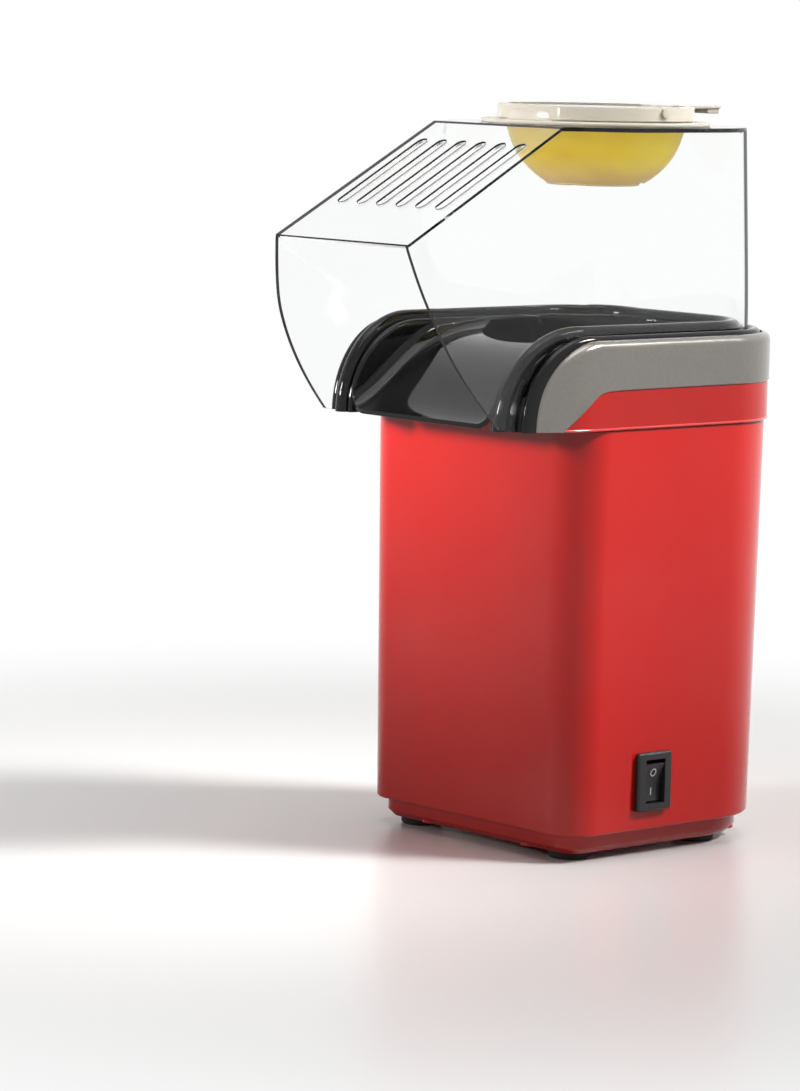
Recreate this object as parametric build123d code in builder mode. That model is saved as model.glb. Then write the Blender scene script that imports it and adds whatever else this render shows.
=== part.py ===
import os
from math import atan2, cos, radians, sin, tan

from build123d import *

os.makedirs("parts", exist_ok=True)

# Frame: +Z up, the spout faces -Y, the switch is on the +X side.
# Sketches are drawn about the popping chamber's axis.
chamber_y = 33.85

# lower shell
wall = 2.5
shell_bottom = 10.5
seam_z = 162.5
shell_half = 61.3
shell_front = 61.0
shell_back = 57.2
draft = 2.0
front_corner = 16.0
back_corner = 39.0
shell_round = 1.0
seam_round = 0.6

# shoulder: band, collar and deck share one outline, drawn by its inset
shoulder_half = 62.3
shoulder_back = 58.3
shoulder_corner = 39.0
taper_angle = 17.2
taper_start = 55.0
taper_radius = 40.0
band_top = 177.0
collar_top = 195.5
collar_round = 3.0
ring_wall = 3.2

# deck and spout
groove_z = 195.5
sweep_y = -52.0
sweep_z = 162.5
rim_half = 58.6
rim_back = 54.6
rim_corner = 35.3
rim_tip = 54.8
rim_gap = 0.4
rim_reach = 30.6
rim_bead = 2.0
platform_z = 197.0
platform_half = 47.6
platform_back = 43.8
platform_corner = 24.5
spout_half = 44.2
spout_reach = 34.5
spout_bead = 3.0
chute_half = 39.0
chute_cove = 7.0
chamber_mouth = 41.5

# hood
hood_wall = 1.6
hood_round = 1.2
hood_base = 195.55
hood_top = 272.7
hood_half = 53.9
hood_back = 49.8
hood_corner = 31.0
hood_draft = 2.0
crease_y = -50.4
hood_knee = -24.4
lip_y = -126.0
lip_z = 230.7
crease_half = 36.0
lip_half = 37.3
waist_z = 204.0
lip_waist = 43.5
lip_foot = 47.5
cup_hole = 36.0

# cup and lid
flange_r = 44.0
cup_rim = 34.3
cup_bottom_r = 17.5
cup_bottom = 249.5
cup_wall = 1.6
lid_top = 280.0
lid_r = 37.7

# switch
switch_y = -18.2
switch_z = 29.0
bezel_w = 17.4
bezel_h = 22.2
rocker_tilt = 9.0


def level(z):
    return Plane((0, chamber_y, z))


def polar_spots(radius, angles):
    return [(radius * cos(radians(a)), radius * sin(radians(a))) for a in angles]


side = Plane((0, chamber_y, 0), x_dir=(0, 1, 0), z_dir=(1, 0, 0))
front = Plane((0, chamber_y, 0), x_dir=(1, 0, 0), z_dir=(0, -1, 0))
axis_z = Axis((0, chamber_y, 0), (0, 0, 1))


def shell_outline(grow):
    Polygon(
        (-shell_half - grow, -shell_front - grow),
        (shell_half + grow, -shell_front - grow),
        (shell_half + grow, shell_back + grow),
        (-shell_half - grow, shell_back + grow),
        align=None,
    )
    fillet(vertices().group_by(Axis.Y)[0], front_corner + min(grow, 0))
    fillet(vertices().group_by(Axis.Y)[-1], back_corner + min(grow, 0))


def shoulder_outline(inset, front):
    turn = radians(taper_angle)
    radius = taper_radius - inset
    half = shoulder_half - inset
    kink = -taper_start - radius * tan(turn / 2)
    tip = half - (front + kink) * tan(turn)
    Polygon(
        (-half, shoulder_back - inset),
        (-half, kink),
        (-tip, -front),
        (tip, -front),
        (half, kink),
        (half, shoulder_back - inset),
        align=None,
    )
    fillet(vertices().group_by(Axis.Y)[1], radius)
    fillet(vertices().group_by(Axis.Y)[-1], shoulder_corner - inset)


def deck_outline(half, back, corner, tip, front, tip_corner):
    Polygon(
        (-half, back),
        (-half, sweep_y),
        (-tip, -front),
        (tip, -front),
        (half, sweep_y),
        (half, back),
        align=None,
    )
    fillet(vertices().group_by(Axis.Y)[0], tip_corner)
    fillet(vertices().group_by(Axis.Y)[-1], corner)


def shell_solid(grow, low, high):
    lean = draft / (seam_z - shell_bottom)
    with BuildPart() as solid:
        with BuildSketch(level(low)):
            shell_outline(grow - (seam_z - low) * lean)
        with BuildSketch(level(high)):
            shell_outline(grow - (seam_z - high) * lean)
        loft()
    return solid.part


boss_spots = [(-28, -48.5), (28, -48.5), (-41.4, 37.3), (41.4, 37.3)]
front_ribs = [(-28, -54), (28, -54)]
boss_r = 5.0
boss_low = 18.0
boss_high = 36.0
rib_wide = 3.0
rib_long = 8.0
screw_r = 1.5
screw_hole = 1.55
gland_z = 26.0
gland_r = 5.0

# red lower shell
shell_outer = shell_solid(0, shell_bottom, seam_z)
shell_inner = shell_solid(-wall, shell_bottom, seam_z)

with BuildPart() as housing:
    add(shell_outer)
    fillet(edges().group_by(Axis.Z)[0], shell_round)
    fillet(edges().group_by(Axis.Z)[-1], seam_round)
    add(shell_inner, mode=Mode.SUBTRACT)
    with BuildSketch(level(boss_low)):
        with Locations(*boss_spots):
            Circle(boss_r)
        with Locations(*front_ribs):
            Rectangle(rib_wide, rib_long)
        for turn, x in ((45, 1), (135, -1)):
            with Locations((45.3 * x, 41.2)):
                Rectangle(rib_long, rib_wide, rotation=turn)
    extrude(amount=boss_high - boss_low)
    add(shell_outer, mode=Mode.INTERSECT)
    with BuildSketch(level(boss_low)):
        with Locations(*boss_spots):
            Circle(screw_hole)
    extrude(amount=boss_high - boss_low - 3, mode=Mode.SUBTRACT)
    with BuildSketch(Plane.YZ.offset(shell_half - 15)):
        with Locations((chamber_y + switch_y, switch_z)):
            Rectangle(bezel_w - 3.4, bezel_h - 3.4)
    extrude(amount=20, mode=Mode.SUBTRACT)
    with BuildSketch(Plane.XZ.offset(-chamber_y - shell_back + 10)):
        with Locations((0, gland_z)):
            Circle(gland_r + 0.05)
    extrude(amount=-20, mode=Mode.SUBTRACT)
housing.part.label = "housing"
export_step(housing.part, "parts/housing.step")


def top_edges(sides, front_y):
    rim = sides.sort_by(Axis.Z)[-1].edges()
    return rim.filter_by(lambda e: e.center().Y > chamber_y + front_y + 1)


# slanted line where the collar's front leg meets the red band
slant_top = (-52.0, band_top)
slant_low = (-68.5, seam_z)

# red upper band, cut along the slant at the front corners
with BuildPart() as housing_band:
    with BuildSketch(level(seam_z)):
        shoulder_outline(0.1, 75)
    extrude(amount=band_top - seam_z)
    with BuildSketch(side):
        Polygon((70, seam_z), (70, band_top), slant_top, slant_low, align=None)
    extrude(amount=80, both=True, mode=Mode.INTERSECT)
    fillet(top_edges(faces(), slant_top[0]), seam_round)
    with BuildSketch(level(seam_z)):
        shoulder_outline(ring_wall, 76)
    extrude(amount=band_top - seam_z, mode=Mode.SUBTRACT)
    chamfer(edges().group_by(Axis.Z)[0].sort_by(Axis.Y)[-1:], seam_round)
housing_band.part.label = "housing_band"
export_step(housing_band.part, "parts/housing_band.step")

# dark grey shoulder
collar_sweep_y = -51.0
collar_sweep_a = 28.5
with BuildPart() as collar:
    with BuildSketch(level(seam_z)):
        shoulder_outline(0, 84)
    extrude(amount=collar_top - seam_z)
    with BuildSketch(side):
        with BuildLine():
            Polyline(
                (collar_sweep_y - collar_sweep_a, seam_z + 0.1),
                (slant_low[0] - 0.3, seam_z + 0.1),
                (slant_top[0] - 0.3, band_top + 0.1),
                (70, band_top + 0.1),
                (70, collar_top),
                (collar_sweep_y, collar_top),
            )
            EllipticalCenterArc(
                (collar_sweep_y, seam_z + 0.1),
                collar_sweep_a,
                collar_top - seam_z - 0.1,
                start_angle=90,
                arc_size=90,
            )
        make_face()
    extrude(amount=80, both=True, mode=Mode.INTERSECT)
    crown = top_edges(faces(), collar_sweep_y)
    fillet(crown + edges().filter_by(GeomType.BSPLINE), collar_round)
    with BuildSketch(level(seam_z)):
        deck_outline(rim_half + rim_gap, rim_back + rim_gap, rim_corner + rim_gap, rim_tip + 0.2, 85, 1)
    extrude(amount=collar_top - seam_z, mode=Mode.SUBTRACT)
collar.part.label = "collar"
export_step(collar.part, "parts/collar.step")

# gloss black deck: rim, ridges and spout, all falling along ellipses at the front
slide_line = [(-14.2, 196.6), (-39.0, 191.2), (-56.0, 184.5), (-70.0, 175.0), (-80.0, 167.3), (-90.0, 163.4)]
underside_z = 182.0
chamber_screw_r = 47.0
chamber_screw_angles = [30, 150, 210, 330]


def swept_rim(half, back, corner, tip, reach, top):
    with BuildPart() as rim:
        with BuildSketch(level(seam_z)):
            deck_outline(half, back, corner, tip, reach - sweep_y + 0.2, 2)
        extrude(amount=top - seam_z)
        with BuildSketch(side):
            with BuildLine():
                Polyline((sweep_y - reach, sweep_z), (70, sweep_z), (70, top), (sweep_y, top))
                EllipticalCenterArc((sweep_y, sweep_z), reach, top - sweep_z, start_angle=90, arc_size=90)
            make_face()
        extrude(amount=80, both=True, mode=Mode.INTERSECT)
    return rim.part


# round bead that runs along the deck and arches down beside the spout
def ridge(half, back, corner, tip, reach, top, radius):
    arch = []
    for step in range(7):
        turn = radians(180 - 15 * step)
        y = sweep_y + reach * cos(turn)
        x = half + (tip - half) * (sweep_y - y) / reach
        arch.append((x, chamber_y + y, sweep_z + (top - sweep_z) * sin(turn)))
    with BuildPart() as tube:
        with BuildLine():
            Spline(*arch, tangents=((0, 0, 1), (0, 1, 0)))
            Line(arch[-1], (half, chamber_y + back - corner, top))
            bend = CenterArc((half - corner, chamber_y + back - corner, top), corner, 0, 90)
            Line(bend @ 1, (0, chamber_y + back, top))
        with BuildSketch(Plane(arch[0])):
            Circle(radius)
        sweep()
        mirror(about=Plane.YZ)
    return tube.part


with BuildPart() as chute:
    with BuildSketch(side):
        with BuildLine():
            Spline(*slide_line)
            Polyline(slide_line[-1], (slide_line[-1][0], 215), (slide_line[0][0], 215), slide_line[0])
        make_face()
    extrude(amount=chute_half, both=True)
    fillet(faces().sort_by(Axis.Z)[0].edges().filter_by(GeomType.BSPLINE), chute_cove)

outer_rim = swept_rim(rim_half, rim_back, rim_corner, rim_tip, rim_reach, groove_z)
platform = swept_rim(
    platform_half, platform_back, platform_corner, spout_half, spout_reach, platform_z
)
inset = rim_bead + 0.3
outer_ridge = ridge(
    rim_half - inset,
    rim_back - inset,
    rim_corner - inset,
    rim_tip - 1.2,
    rim_reach - 1.3,
    groove_z - 0.5,
    rim_bead,
)
inner_ridge = ridge(
    platform_half + 0.2,
    platform_back + 0.2,
    platform_corner + 0.2,
    spout_half + 0.1,
    spout_reach - 0.9,
    platform_z,
    spout_bead,
)

with BuildPart() as chute_deck:
    add(outer_rim)
    add(platform)
    add(outer_ridge)
    add(inner_ridge)
    with BuildSketch(level(seam_z)):
        Circle(chamber_mouth)
    extrude(amount=60, mode=Mode.SUBTRACT)
    add(chute.part, mode=Mode.SUBTRACT)
    with BuildSketch(side):
        Polygon(
            (70, underside_z),
            (-44, underside_z),
            (-56, 180.8),
            (-61.6, 177.6),
            (-61.6, seam_z - 10),
            (70, seam_z - 10),
            align=None,
        )
    extrude(amount=80, both=True, mode=Mode.SUBTRACT)
    with BuildSketch(side):
        Polygon((-63.8, 176.0), (-70, 172.0), (-79, 165.2), (-80, 150), (-63.8, 150), align=None)
    extrude(amount=chute_half + 2, both=True, mode=Mode.SUBTRACT)
    with BuildSketch(level(underside_z)):
        with Locations(*polar_spots(chamber_screw_r, chamber_screw_angles)):
            Circle(screw_hole)
    extrude(amount=8, mode=Mode.SUBTRACT)
chute_deck.part.label = "chute_deck"
export_step(chute_deck.part, "parts/chute_deck.step")

# clear hood: rounded chamber cover with a sloped chute roof in front
slope = atan2(hood_top - lip_z, crease_y - lip_y)


def hood_solid(inset):
    base = hood_half - inset
    top = hood_half - hood_draft - inset
    roof = hood_top - inset * 1.1
    corner = hood_corner - inset
    with BuildPart() as form:
        for z, half, back, nose in (
            (hood_base - 6, base, hood_back - inset, base),
            (waist_z, base, hood_back - inset, base),
            (roof, top, hood_back - hood_draft - inset, crease_half - inset),
        ):
            with BuildSketch(level(z)):
                with BuildLine():
                    Spline((nose, crease_y), (half, hood_knee), tangents=((0, 1), (0, 1)))
                    Line((half, hood_knee), (half, back - corner))
                    bend = CenterArc((half - corner, back - corner), corner, 0, 90)
                    Line(bend @ 1, (0, back))
                    mirror(about=Plane.YZ)
                    Line((-nose, crease_y), (nose, crease_y))
                make_face()
        loft(ruled=True)
        end_y = lip_y - inset * 2
        end_z = lip_z - inset * 1.1 - inset * 2 * tan(slope)
        for y, z, half, low, foot in (
            (crease_y, roof, crease_half, hood_half, hood_half),
            (end_y, end_z, lip_half, lip_waist, lip_foot),
        ):
            with BuildSketch(Plane((0, chamber_y + y, 0), x_dir=(1, 0, 0), z_dir=(0, -1, 0))):
                Polygon(
                    (inset - half, z),
                    (inset - low, waist_z),
                    (inset - foot, 150),
                    (foot - inset, 150),
                    (low - inset, waist_z),
                    (half - inset, z),
                    align=None,
                )
        loft(ruled=True)
    return form.part


hood_outer = hood_solid(0)
hood_inner = hood_solid(hood_wall)

slot_pitch = 11.0
slot_width = 4.9
slot_length = 48.0
roof_plane = Plane(
    (0, chamber_y - 82.9, hood_top + (-82.9 - crease_y) * tan(slope)),
    x_dir=(0, cos(slope), sin(slope)),
    z_dir=(0, -sin(slope), cos(slope)),
)
hood_reach = 31.0

with BuildPart() as hood:
    add(hood_outer)
    fillet(top_edges(faces(), crease_y), hood_round)
    add(hood_inner, mode=Mode.SUBTRACT)
    with BuildSketch(side):
        with BuildLine():
            Line((70, hood_base), (sweep_y, hood_base))
            EllipticalCenterArc(
                (sweep_y, sweep_z), hood_reach, hood_base - sweep_z, start_angle=90, arc_size=90
            )
            edge_line = Spline(
                (sweep_y - hood_reach - 7.5, sweep_z + 1),
                (-97.5, 171),
                (-108.7, 185.5),
                (-118, 202.5),
                (-124, 221),
                (-126.0, lip_z - 1.5),
            )
            Line((sweep_y - hood_reach, sweep_z), edge_line @ 0)
            Polyline(edge_line @ 1, (-140, lip_z - 1.5), (-140, 140), (70, 140), (70, hood_base))
        make_face()
    extrude(amount=80, both=True, mode=Mode.SUBTRACT)
    with BuildSketch(level(hood_top - 6)):
        Circle(cup_hole)
    extrude(amount=12, mode=Mode.SUBTRACT)
    with BuildSketch(roof_plane):
        with GridLocations(0, slot_pitch, 1, 6):
            SlotOverall(slot_length, slot_width)
    extrude(amount=5, both=True, mode=Mode.SUBTRACT)
hood.part.label = "hood"
export_step(hood.part, "parts/hood.step")

# measuring cup that hangs in the hood's top
flange_z = hood_top + 0.1
with BuildPart() as measuring_cup:
    with BuildSketch(front):
        with BuildLine():
            outer = Spline(
                (cup_bottom_r, cup_bottom),
                (25.5, 255.5),
                (31.8, 265.0),
                (cup_rim, flange_z),
                tangents=((1, 0.35), (0.05, 1)),
            )
            Polyline(
                outer @ 1,
                (flange_r, flange_z),
                (flange_r, flange_z + 1.4),
                (cup_rim + 1.6, flange_z + 1.4),
                (cup_rim + 1.6, 278.2),
                (cup_rim, 278.2),
                (cup_rim - cup_wall, flange_z + 1.4),
            )
            inner = Spline(
                (cup_rim - cup_wall, flange_z + 1.4),
                (31.8 - cup_wall, 265.6),
                (25.5 - cup_wall * 0.7, 256.7),
                (cup_bottom_r - 0.6, cup_bottom + cup_wall),
                tangents=((-0.05, -1), (-1, -0.35)),
            )
            Polyline(inner @ 1, (0, cup_bottom + cup_wall), (0, cup_bottom), (cup_bottom_r, cup_bottom))
        make_face()
    revolve(axis=axis_z)
measuring_cup.part.label = "measuring_cup"
export_step(measuring_cup.part, "parts/measuring_cup.step")

# clear lid with a thumb tab at the back, a pouring notch at the front and a round stud on each side
skirt_low = 274.6
lid_plate = 1.4
tab_end = 58.2
tab_width = 20.0
tab_root = 34.0
tab_thick = 1.2
tab_lip = 7.0
stud_r = 2.0
stud_z = 277.9
stud_out = 1.2
notch_width = 26.0
with BuildPart() as cup_lid:
    with BuildSketch(level(skirt_low)):
        Circle(lid_r)
    extrude(amount=lid_top - skirt_low)
    fillet(edges().group_by(Axis.Z)[-1], 0.8)
    with BuildSketch(level(skirt_low)):
        Circle(lid_r - 1.3)
    extrude(amount=lid_top - lid_plate - skirt_low, mode=Mode.SUBTRACT)
    with BuildSketch(level(lid_top - tab_thick)):
        with Locations((0, (tab_root + tab_end) / 2)):
            Rectangle(tab_width, tab_end - tab_root)
        fillet(vertices().group_by(Axis.Y)[-1], 2)
    extrude(amount=tab_thick)
    with BuildSketch(level(lid_top - 3.0)):
        with Locations((0, tab_end - 0.5 - tab_lip / 2)):
            RectangleRounded(tab_width - 1, tab_lip, 1.5)
    extrude(amount=3.0 - tab_thick / 2)
    for way in (1, -1):
        with BuildSketch(Plane((way * (lid_r - 0.6), chamber_y, stud_z), z_dir=(way, 0, 0))):
            Circle(stud_r)
        extrude(amount=stud_out + 0.6)
    with BuildSketch(level(skirt_low)):
        with Locations((0, -lid_r)):
            Rectangle(notch_width, 7)
    extrude(amount=20, mode=Mode.SUBTRACT)
cup_lid.part.label = "cup_lid"
export_step(cup_lid.part, "parts/cup_lid.step")

# base cover with the air intake grille, plugged into the shell from below
cover_low = 3.0
cover_floor = 5.5
cover_top = 16.0
cover_inset = 6.5
plug_inset = 4.9
foot_spots = [(-42, -43), (42, -43), (-42, 22), (42, 22)]
foot_r = 8.0
board_posts = [(-11, -42), (11, -42)]
board_z = 12.0
grille_r = 27.0
grille_pitch = 8.0
with BuildPart() as base_cover:
    with BuildSketch(level(cover_low)):
        shell_outline(-cover_inset)
    extrude(amount=shell_bottom - cover_low)
    chamfer(edges().group_by(Axis.Z)[0], 2.4)
    with BuildSketch(level(shell_bottom)):
        shell_outline(-plug_inset)
    extrude(amount=cover_top - shell_bottom)
    with BuildSketch(level(cover_floor)):
        shell_outline(-cover_inset - 2.3)
    extrude(amount=cover_top - cover_floor, mode=Mode.SUBTRACT)
    with BuildSketch(level(cover_low)):
        with Locations(*boss_spots):
            Circle(boss_r)
    extrude(amount=boss_low - cover_low)
    with BuildSketch(level(cover_floor)):
        with Locations(*board_posts):
            Circle(2.2)
    extrude(amount=board_z - cover_floor)
    with BuildSketch(level(cover_low)):
        with Locations(*boss_spots):
            Circle(screw_hole)
    extrude(amount=boss_low - cover_low, mode=Mode.SUBTRACT)
    with BuildSketch(level(cover_low)):
        with Locations(*boss_spots):
            Circle(3.5)
    extrude(amount=4, mode=Mode.SUBTRACT)
    with BuildSketch(level(cover_low)):
        with Locations(*foot_spots):
            Circle(foot_r - 1.4)
    extrude(amount=1.2, mode=Mode.SUBTRACT)
    with BuildSketch(level(cover_low)):
        for row in range(-3, 4):
            across = row * grille_pitch
            with Locations((across, 0)):
                SlotOverall(2 * (grille_r**2 - across**2) ** 0.5, 4.0, rotation=90)
    extrude(amount=10, mode=Mode.SUBTRACT)
base_cover.part.label = "base_cover"
export_step(base_cover.part, "parts/base_cover.step")

# rubber feet
with BuildPart() as feet:
    with BuildSketch(level(0)):
        with Locations(*foot_spots):
            Circle(foot_r)
    extrude(amount=cover_low)
    chamfer(feet.edges().group_by(Axis.Z)[0], 0.8)
    with BuildSketch(level(cover_low)):
        with Locations(*foot_spots):
            Circle(foot_r - 1.5)
    extrude(amount=1.2)
feet.part.label = "feet"
export_step(feet.part, "parts/feet.step")


def screws(plane, spots, head_r, head, length):
    with BuildPart() as group:
        with BuildSketch(plane):
            with Locations(*spots):
                Circle(head_r)
        extrude(amount=head)
        with BuildSketch(plane.offset(head)):
            with Locations(*spots):
                Circle(screw_r)
        extrude(amount=length)
        with BuildSketch(plane):
            with Locations(*spots):
                Rectangle(head_r * 1.3, 0.8)
                Rectangle(0.8, head_r * 1.3)
        extrude(amount=head * 0.5, mode=Mode.SUBTRACT)
    return group.part


base_screws = screws(level(5.0), boss_spots, 3.2, 2.0, 22.0)
base_screws.label = "base_screws"
export_step(base_screws, "parts/base_screws.step")

# strain relief of the power cord, set in the back wall
back_face = chamber_y + shell_back - 1.65
with BuildPart() as cord_gland:
    with BuildSketch(Plane.XZ.offset(-back_face)):
        with Locations((0, gland_z)):
            Circle(7.0)
    extrude(amount=-2.2)
    with BuildSketch(Plane.XZ.offset(-back_face)):
        with Locations((0, gland_z)):
            Circle(gland_r)
    extrude(amount=6)
    with BuildSketch(Plane.XZ.offset(-back_face + 3.2)):
        with Locations((0, gland_z)):
            Circle(6.5)
    extrude(amount=2.4)
    with BuildSketch(Plane.XZ.offset(-back_face - 3)):
        with Locations((0, gland_z)):
            Circle(3.2)
    extrude(amount=12, mode=Mode.SUBTRACT)
cord_gland.part.label = "cord_gland"
export_step(cord_gland.part, "parts/cord_gland.step")

# power switch in the +X wall
bezel_x = 59.75
bezel_thick = 2.2
body_x = 46.0
well_w = 9.8
well_h = 16.8
pivot_x = 57.3
pivot_r = 1.2


def switch_plane(x):
    return Plane((x, chamber_y + switch_y, switch_z), x_dir=(0, 1, 0), z_dir=(1, 0, 0))


with BuildPart() as switch_frame:
    with BuildSketch(switch_plane(body_x)):
        Rectangle(bezel_w - 3.8, bezel_h - 3.8)
    extrude(amount=bezel_x - body_x)
    with BuildSketch(switch_plane(bezel_x)):
        RectangleRounded(bezel_w, bezel_h, 1.2)
    extrude(amount=bezel_thick)
    chamfer(faces().sort_by(Axis.X)[-1].outer_wire().edges(), 0.6)
    with BuildSketch(switch_plane(body_x + 5)):
        Rectangle(well_w, well_h)
    extrude(amount=20, mode=Mode.SUBTRACT)
    with BuildSketch(Plane((pivot_x, chamber_y + switch_y, switch_z), x_dir=(1, 0, 0), z_dir=(0, 1, 0))):
        Circle(pivot_r + 0.05)
    extrude(amount=well_w / 2 + 0.9, both=True, mode=Mode.SUBTRACT)
switch_frame.part.label = "switch_frame"
export_step(switch_frame.part, "parts/switch_frame.step")

tilted = Plane(
    (pivot_x, chamber_y + switch_y, switch_z),
    x_dir=(sin(radians(rocker_tilt)), 0, cos(radians(rocker_tilt))),
    z_dir=(0, 1, 0),
)
rocker_w = 9.2
with BuildPart() as switch_rocker:
    with BuildSketch(tilted):
        with BuildLine():
            ThreePointArc((-7.4, 3.6), (0, 2.4), (7.4, 3.6))
            Polyline((7.4, 3.6), (6.6, -0.6), (2.2, -2.6), (-2.2, -2.6), (-6.6, -0.6), (-7.4, 3.6))
        make_face()
    extrude(amount=rocker_w / 2, both=True)
    with BuildSketch(tilted):
        Circle(pivot_r)
    extrude(amount=rocker_w / 2 + 0.9, both=True)
switch_rocker.part.label = "switch_rocker"
export_step(switch_rocker.part, "parts/switch_rocker.step")

with BuildPart() as switch_terminals:
    with BuildSketch(switch_plane(body_x)):
        with GridLocations(0, 5.5, 1, 3):
            Rectangle(4.8, 0.8)
    extrude(amount=-8)
switch_terminals.part.label = "switch_terminals"
export_step(switch_terminals.part, "parts/switch_terminals.step")

# popping chamber with slanted louvres
chamber_r = 42.0
sheet = 1.0
chamber_low = 92.0
flange_low = 179.6
with BuildPart() as popping_chamber:
    with BuildSketch(front):
        with BuildLine():
            Polyline(
                (0, chamber_low + 5),
                (12, chamber_low),
                (chamber_r + sheet - 12, chamber_low),
                (chamber_r + sheet, chamber_low + 12),
                (chamber_r + sheet, flange_low),
                (50, flange_low),
                (50, flange_low + sheet),
                (chamber_r, flange_low + sheet),
                (chamber_r, chamber_low + 12.4),
                (chamber_r - 11.4, chamber_low + sheet),
                (12.2, chamber_low + sheet),
                (0, chamber_low + 5 + sheet),
                (0, chamber_low + 5),
            )
        make_face()
    revolve(axis=axis_z)
    for step in range(20):
        turn = radians(18 * step)
        radial = (cos(turn), sin(turn), 0)
        spot = (chamber_r * cos(turn), chamber_y + chamber_r * sin(turn), chamber_low + 21)
        with BuildSketch(Plane(spot, x_dir=(-sin(turn), cos(turn), 0), z_dir=radial)):
            SlotOverall(15, 2.4, rotation=50)
        extrude(amount=4, both=True, mode=Mode.SUBTRACT)
    with BuildSketch(level(flange_low)):
        with Locations(*polar_spots(chamber_screw_r, chamber_screw_angles)):
            Circle(screw_hole)
    extrude(amount=sheet, mode=Mode.SUBTRACT)
popping_chamber.part.label = "popping_chamber"
export_step(popping_chamber.part, "parts/popping_chamber.step")

with BuildPart() as chamber_gasket:
    with BuildSketch(level(flange_low + sheet)):
        Circle(43.9)
        Circle(chamber_r + 0.3, mode=Mode.SUBTRACT)
    extrude(amount=underside_z - flange_low - sheet)
chamber_gasket.part.label = "chamber_gasket"
export_step(chamber_gasket.part, "parts/chamber_gasket.step")

chamber_spots = polar_spots(chamber_screw_r, chamber_screw_angles)
chamber_screws = screws(level(flange_low - 1.6), chamber_spots, 2.8, 1.6, 8.0)
chamber_screws.label = "chamber_screws"
export_step(chamber_screws, "parts/chamber_screws.step")

# air duct on legs, with a ledge for the shroud
duct_r = 47.0
duct_low = 45.0
duct_top = 88.0
ledge_z = 86.0
plate = 2.5
leg_spots = polar_spots(38, [45, 135, 225, 315])
bracket_spots = polar_spots(28, [90, 210, 330])
with BuildPart() as fan_duct:
    with BuildSketch(level(duct_low)):
        Circle(duct_r)
        Circle(duct_r - 2.2, mode=Mode.SUBTRACT)
    extrude(amount=duct_top - duct_low)
    with BuildSketch(level(duct_low)):
        Circle(duct_r)
        Circle(24, mode=Mode.SUBTRACT)
        with Locations(*bracket_spots):
            Circle(screw_hole, mode=Mode.SUBTRACT)
    extrude(amount=plate)
    with BuildSketch(level(ledge_z - 3)):
        Circle(50)
        Circle(duct_r - 1, mode=Mode.SUBTRACT)
    extrude(amount=3)
    with BuildSketch(level(cover_floor)):
        with Locations(*leg_spots):
            Circle(4.5)
    extrude(amount=duct_low - cover_floor)
fan_duct.part.label = "fan_duct"
export_step(fan_duct.part, "parts/fan_duct.step")

with BuildPart() as heater_shroud:
    with BuildSketch(level(ledge_z)):
        Circle(48.6)
        Circle(47.6, mode=Mode.SUBTRACT)
    extrude(amount=flange_low - 1.8 - ledge_z)
heater_shroud.part.label = "heater_shroud"
export_step(heater_shroud.part, "parts/heater_shroud.step")

# heater: crossed mica plates with a wire wound round their edges
mica_half = 29.2
mica_low = 69.0
mica_top = 86.0
with BuildPart() as mica_frame:
    with BuildSketch(level(mica_low)):
        Rectangle(2 * mica_half, 1)
        Rectangle(1, 2 * mica_half)
    extrude(amount=mica_top - mica_low)
    with BuildSketch(level(mica_top - 4)):
        Rectangle(2 * duct_r - 5.2, 1)
        Rectangle(1, 2 * duct_r - 5.2)
    extrude(amount=4)
mica_frame.part.label = "mica_frame"
export_step(mica_frame.part, "parts/mica_frame.step")

wire_r = 0.7
coil_r = mica_half + wire_r + 0.3
with BuildPart() as heater_coil:
    with BuildLine() as winding:
        Helix(3.2, 9.6, coil_r, center=(0, chamber_y, mica_low + 1.5))
    with BuildSketch(Plane(winding.line @ 0, z_dir=winding.line % 0)):
        Circle(wire_r)
    sweep()
heater_coil.part.label = "heater_coil"
export_step(heater_coil.part, "parts/heater_coil.step")

with BuildPart() as thermal_fuse:
    with BuildSketch(Plane((8, chamber_y + 2.6, mica_low + 7), z_dir=(1, 0, 0))):
        Circle(2.0)
    extrude(amount=12)
    with BuildSketch(Plane((3, chamber_y + 2.6, mica_low + 7), z_dir=(1, 0, 0))):
        Circle(0.5)
    extrude(amount=22)
thermal_fuse.part.label = "thermal_fuse"
export_step(thermal_fuse.part, "parts/thermal_fuse.step")

with BuildPart() as thermostat:
    with BuildSketch(Plane((-48.65, chamber_y, 122), z_dir=(-1, 0, 0))):
        Circle(7.5)
    extrude(amount=4.5)
    with BuildSketch(Plane((-48.65 - 4.5, chamber_y, 122), z_dir=(-1, 0, 0))):
        with GridLocations(9, 0, 2, 1):
            Rectangle(0.8, 4)
    extrude(amount=3)
thermostat.part.label = "thermostat"
export_step(thermostat.part, "parts/thermostat.step")

# motor, bracket, shaft and impeller
can_r = 16.0
can_low = 9.0
can_top = 42.5
shaft_r = 1.6
with BuildPart() as motor_can:
    with BuildSketch(level(can_low)):
        Circle(can_r)
    extrude(amount=can_top - can_low)
    fillet(edges().group_by(Axis.Z)[0], 2.5)
    with BuildSketch(level(can_top)):
        Circle(4.8)
    extrude(amount=2.5)
    with BuildSketch(level(can_low + 3)):
        Circle(shaft_r + 0.05)
    extrude(amount=50, mode=Mode.SUBTRACT)
motor_can.part.label = "motor_can"
export_step(motor_can.part, "parts/motor_can.step")

with BuildPart() as motor_bracket:
    with BuildSketch(level(can_top)):
        Circle(14)
        for turn in (90, 210, 330):
            with Locations(*polar_spots(19, [turn])):
                Rectangle(26, 9, rotation=turn)
        Circle(5, mode=Mode.SUBTRACT)
        with Locations(*bracket_spots):
            Circle(screw_hole, mode=Mode.SUBTRACT)
    extrude(amount=duct_low - can_top)
motor_bracket.part.label = "motor_bracket"
export_step(motor_bracket.part, "parts/motor_bracket.step")

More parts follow.
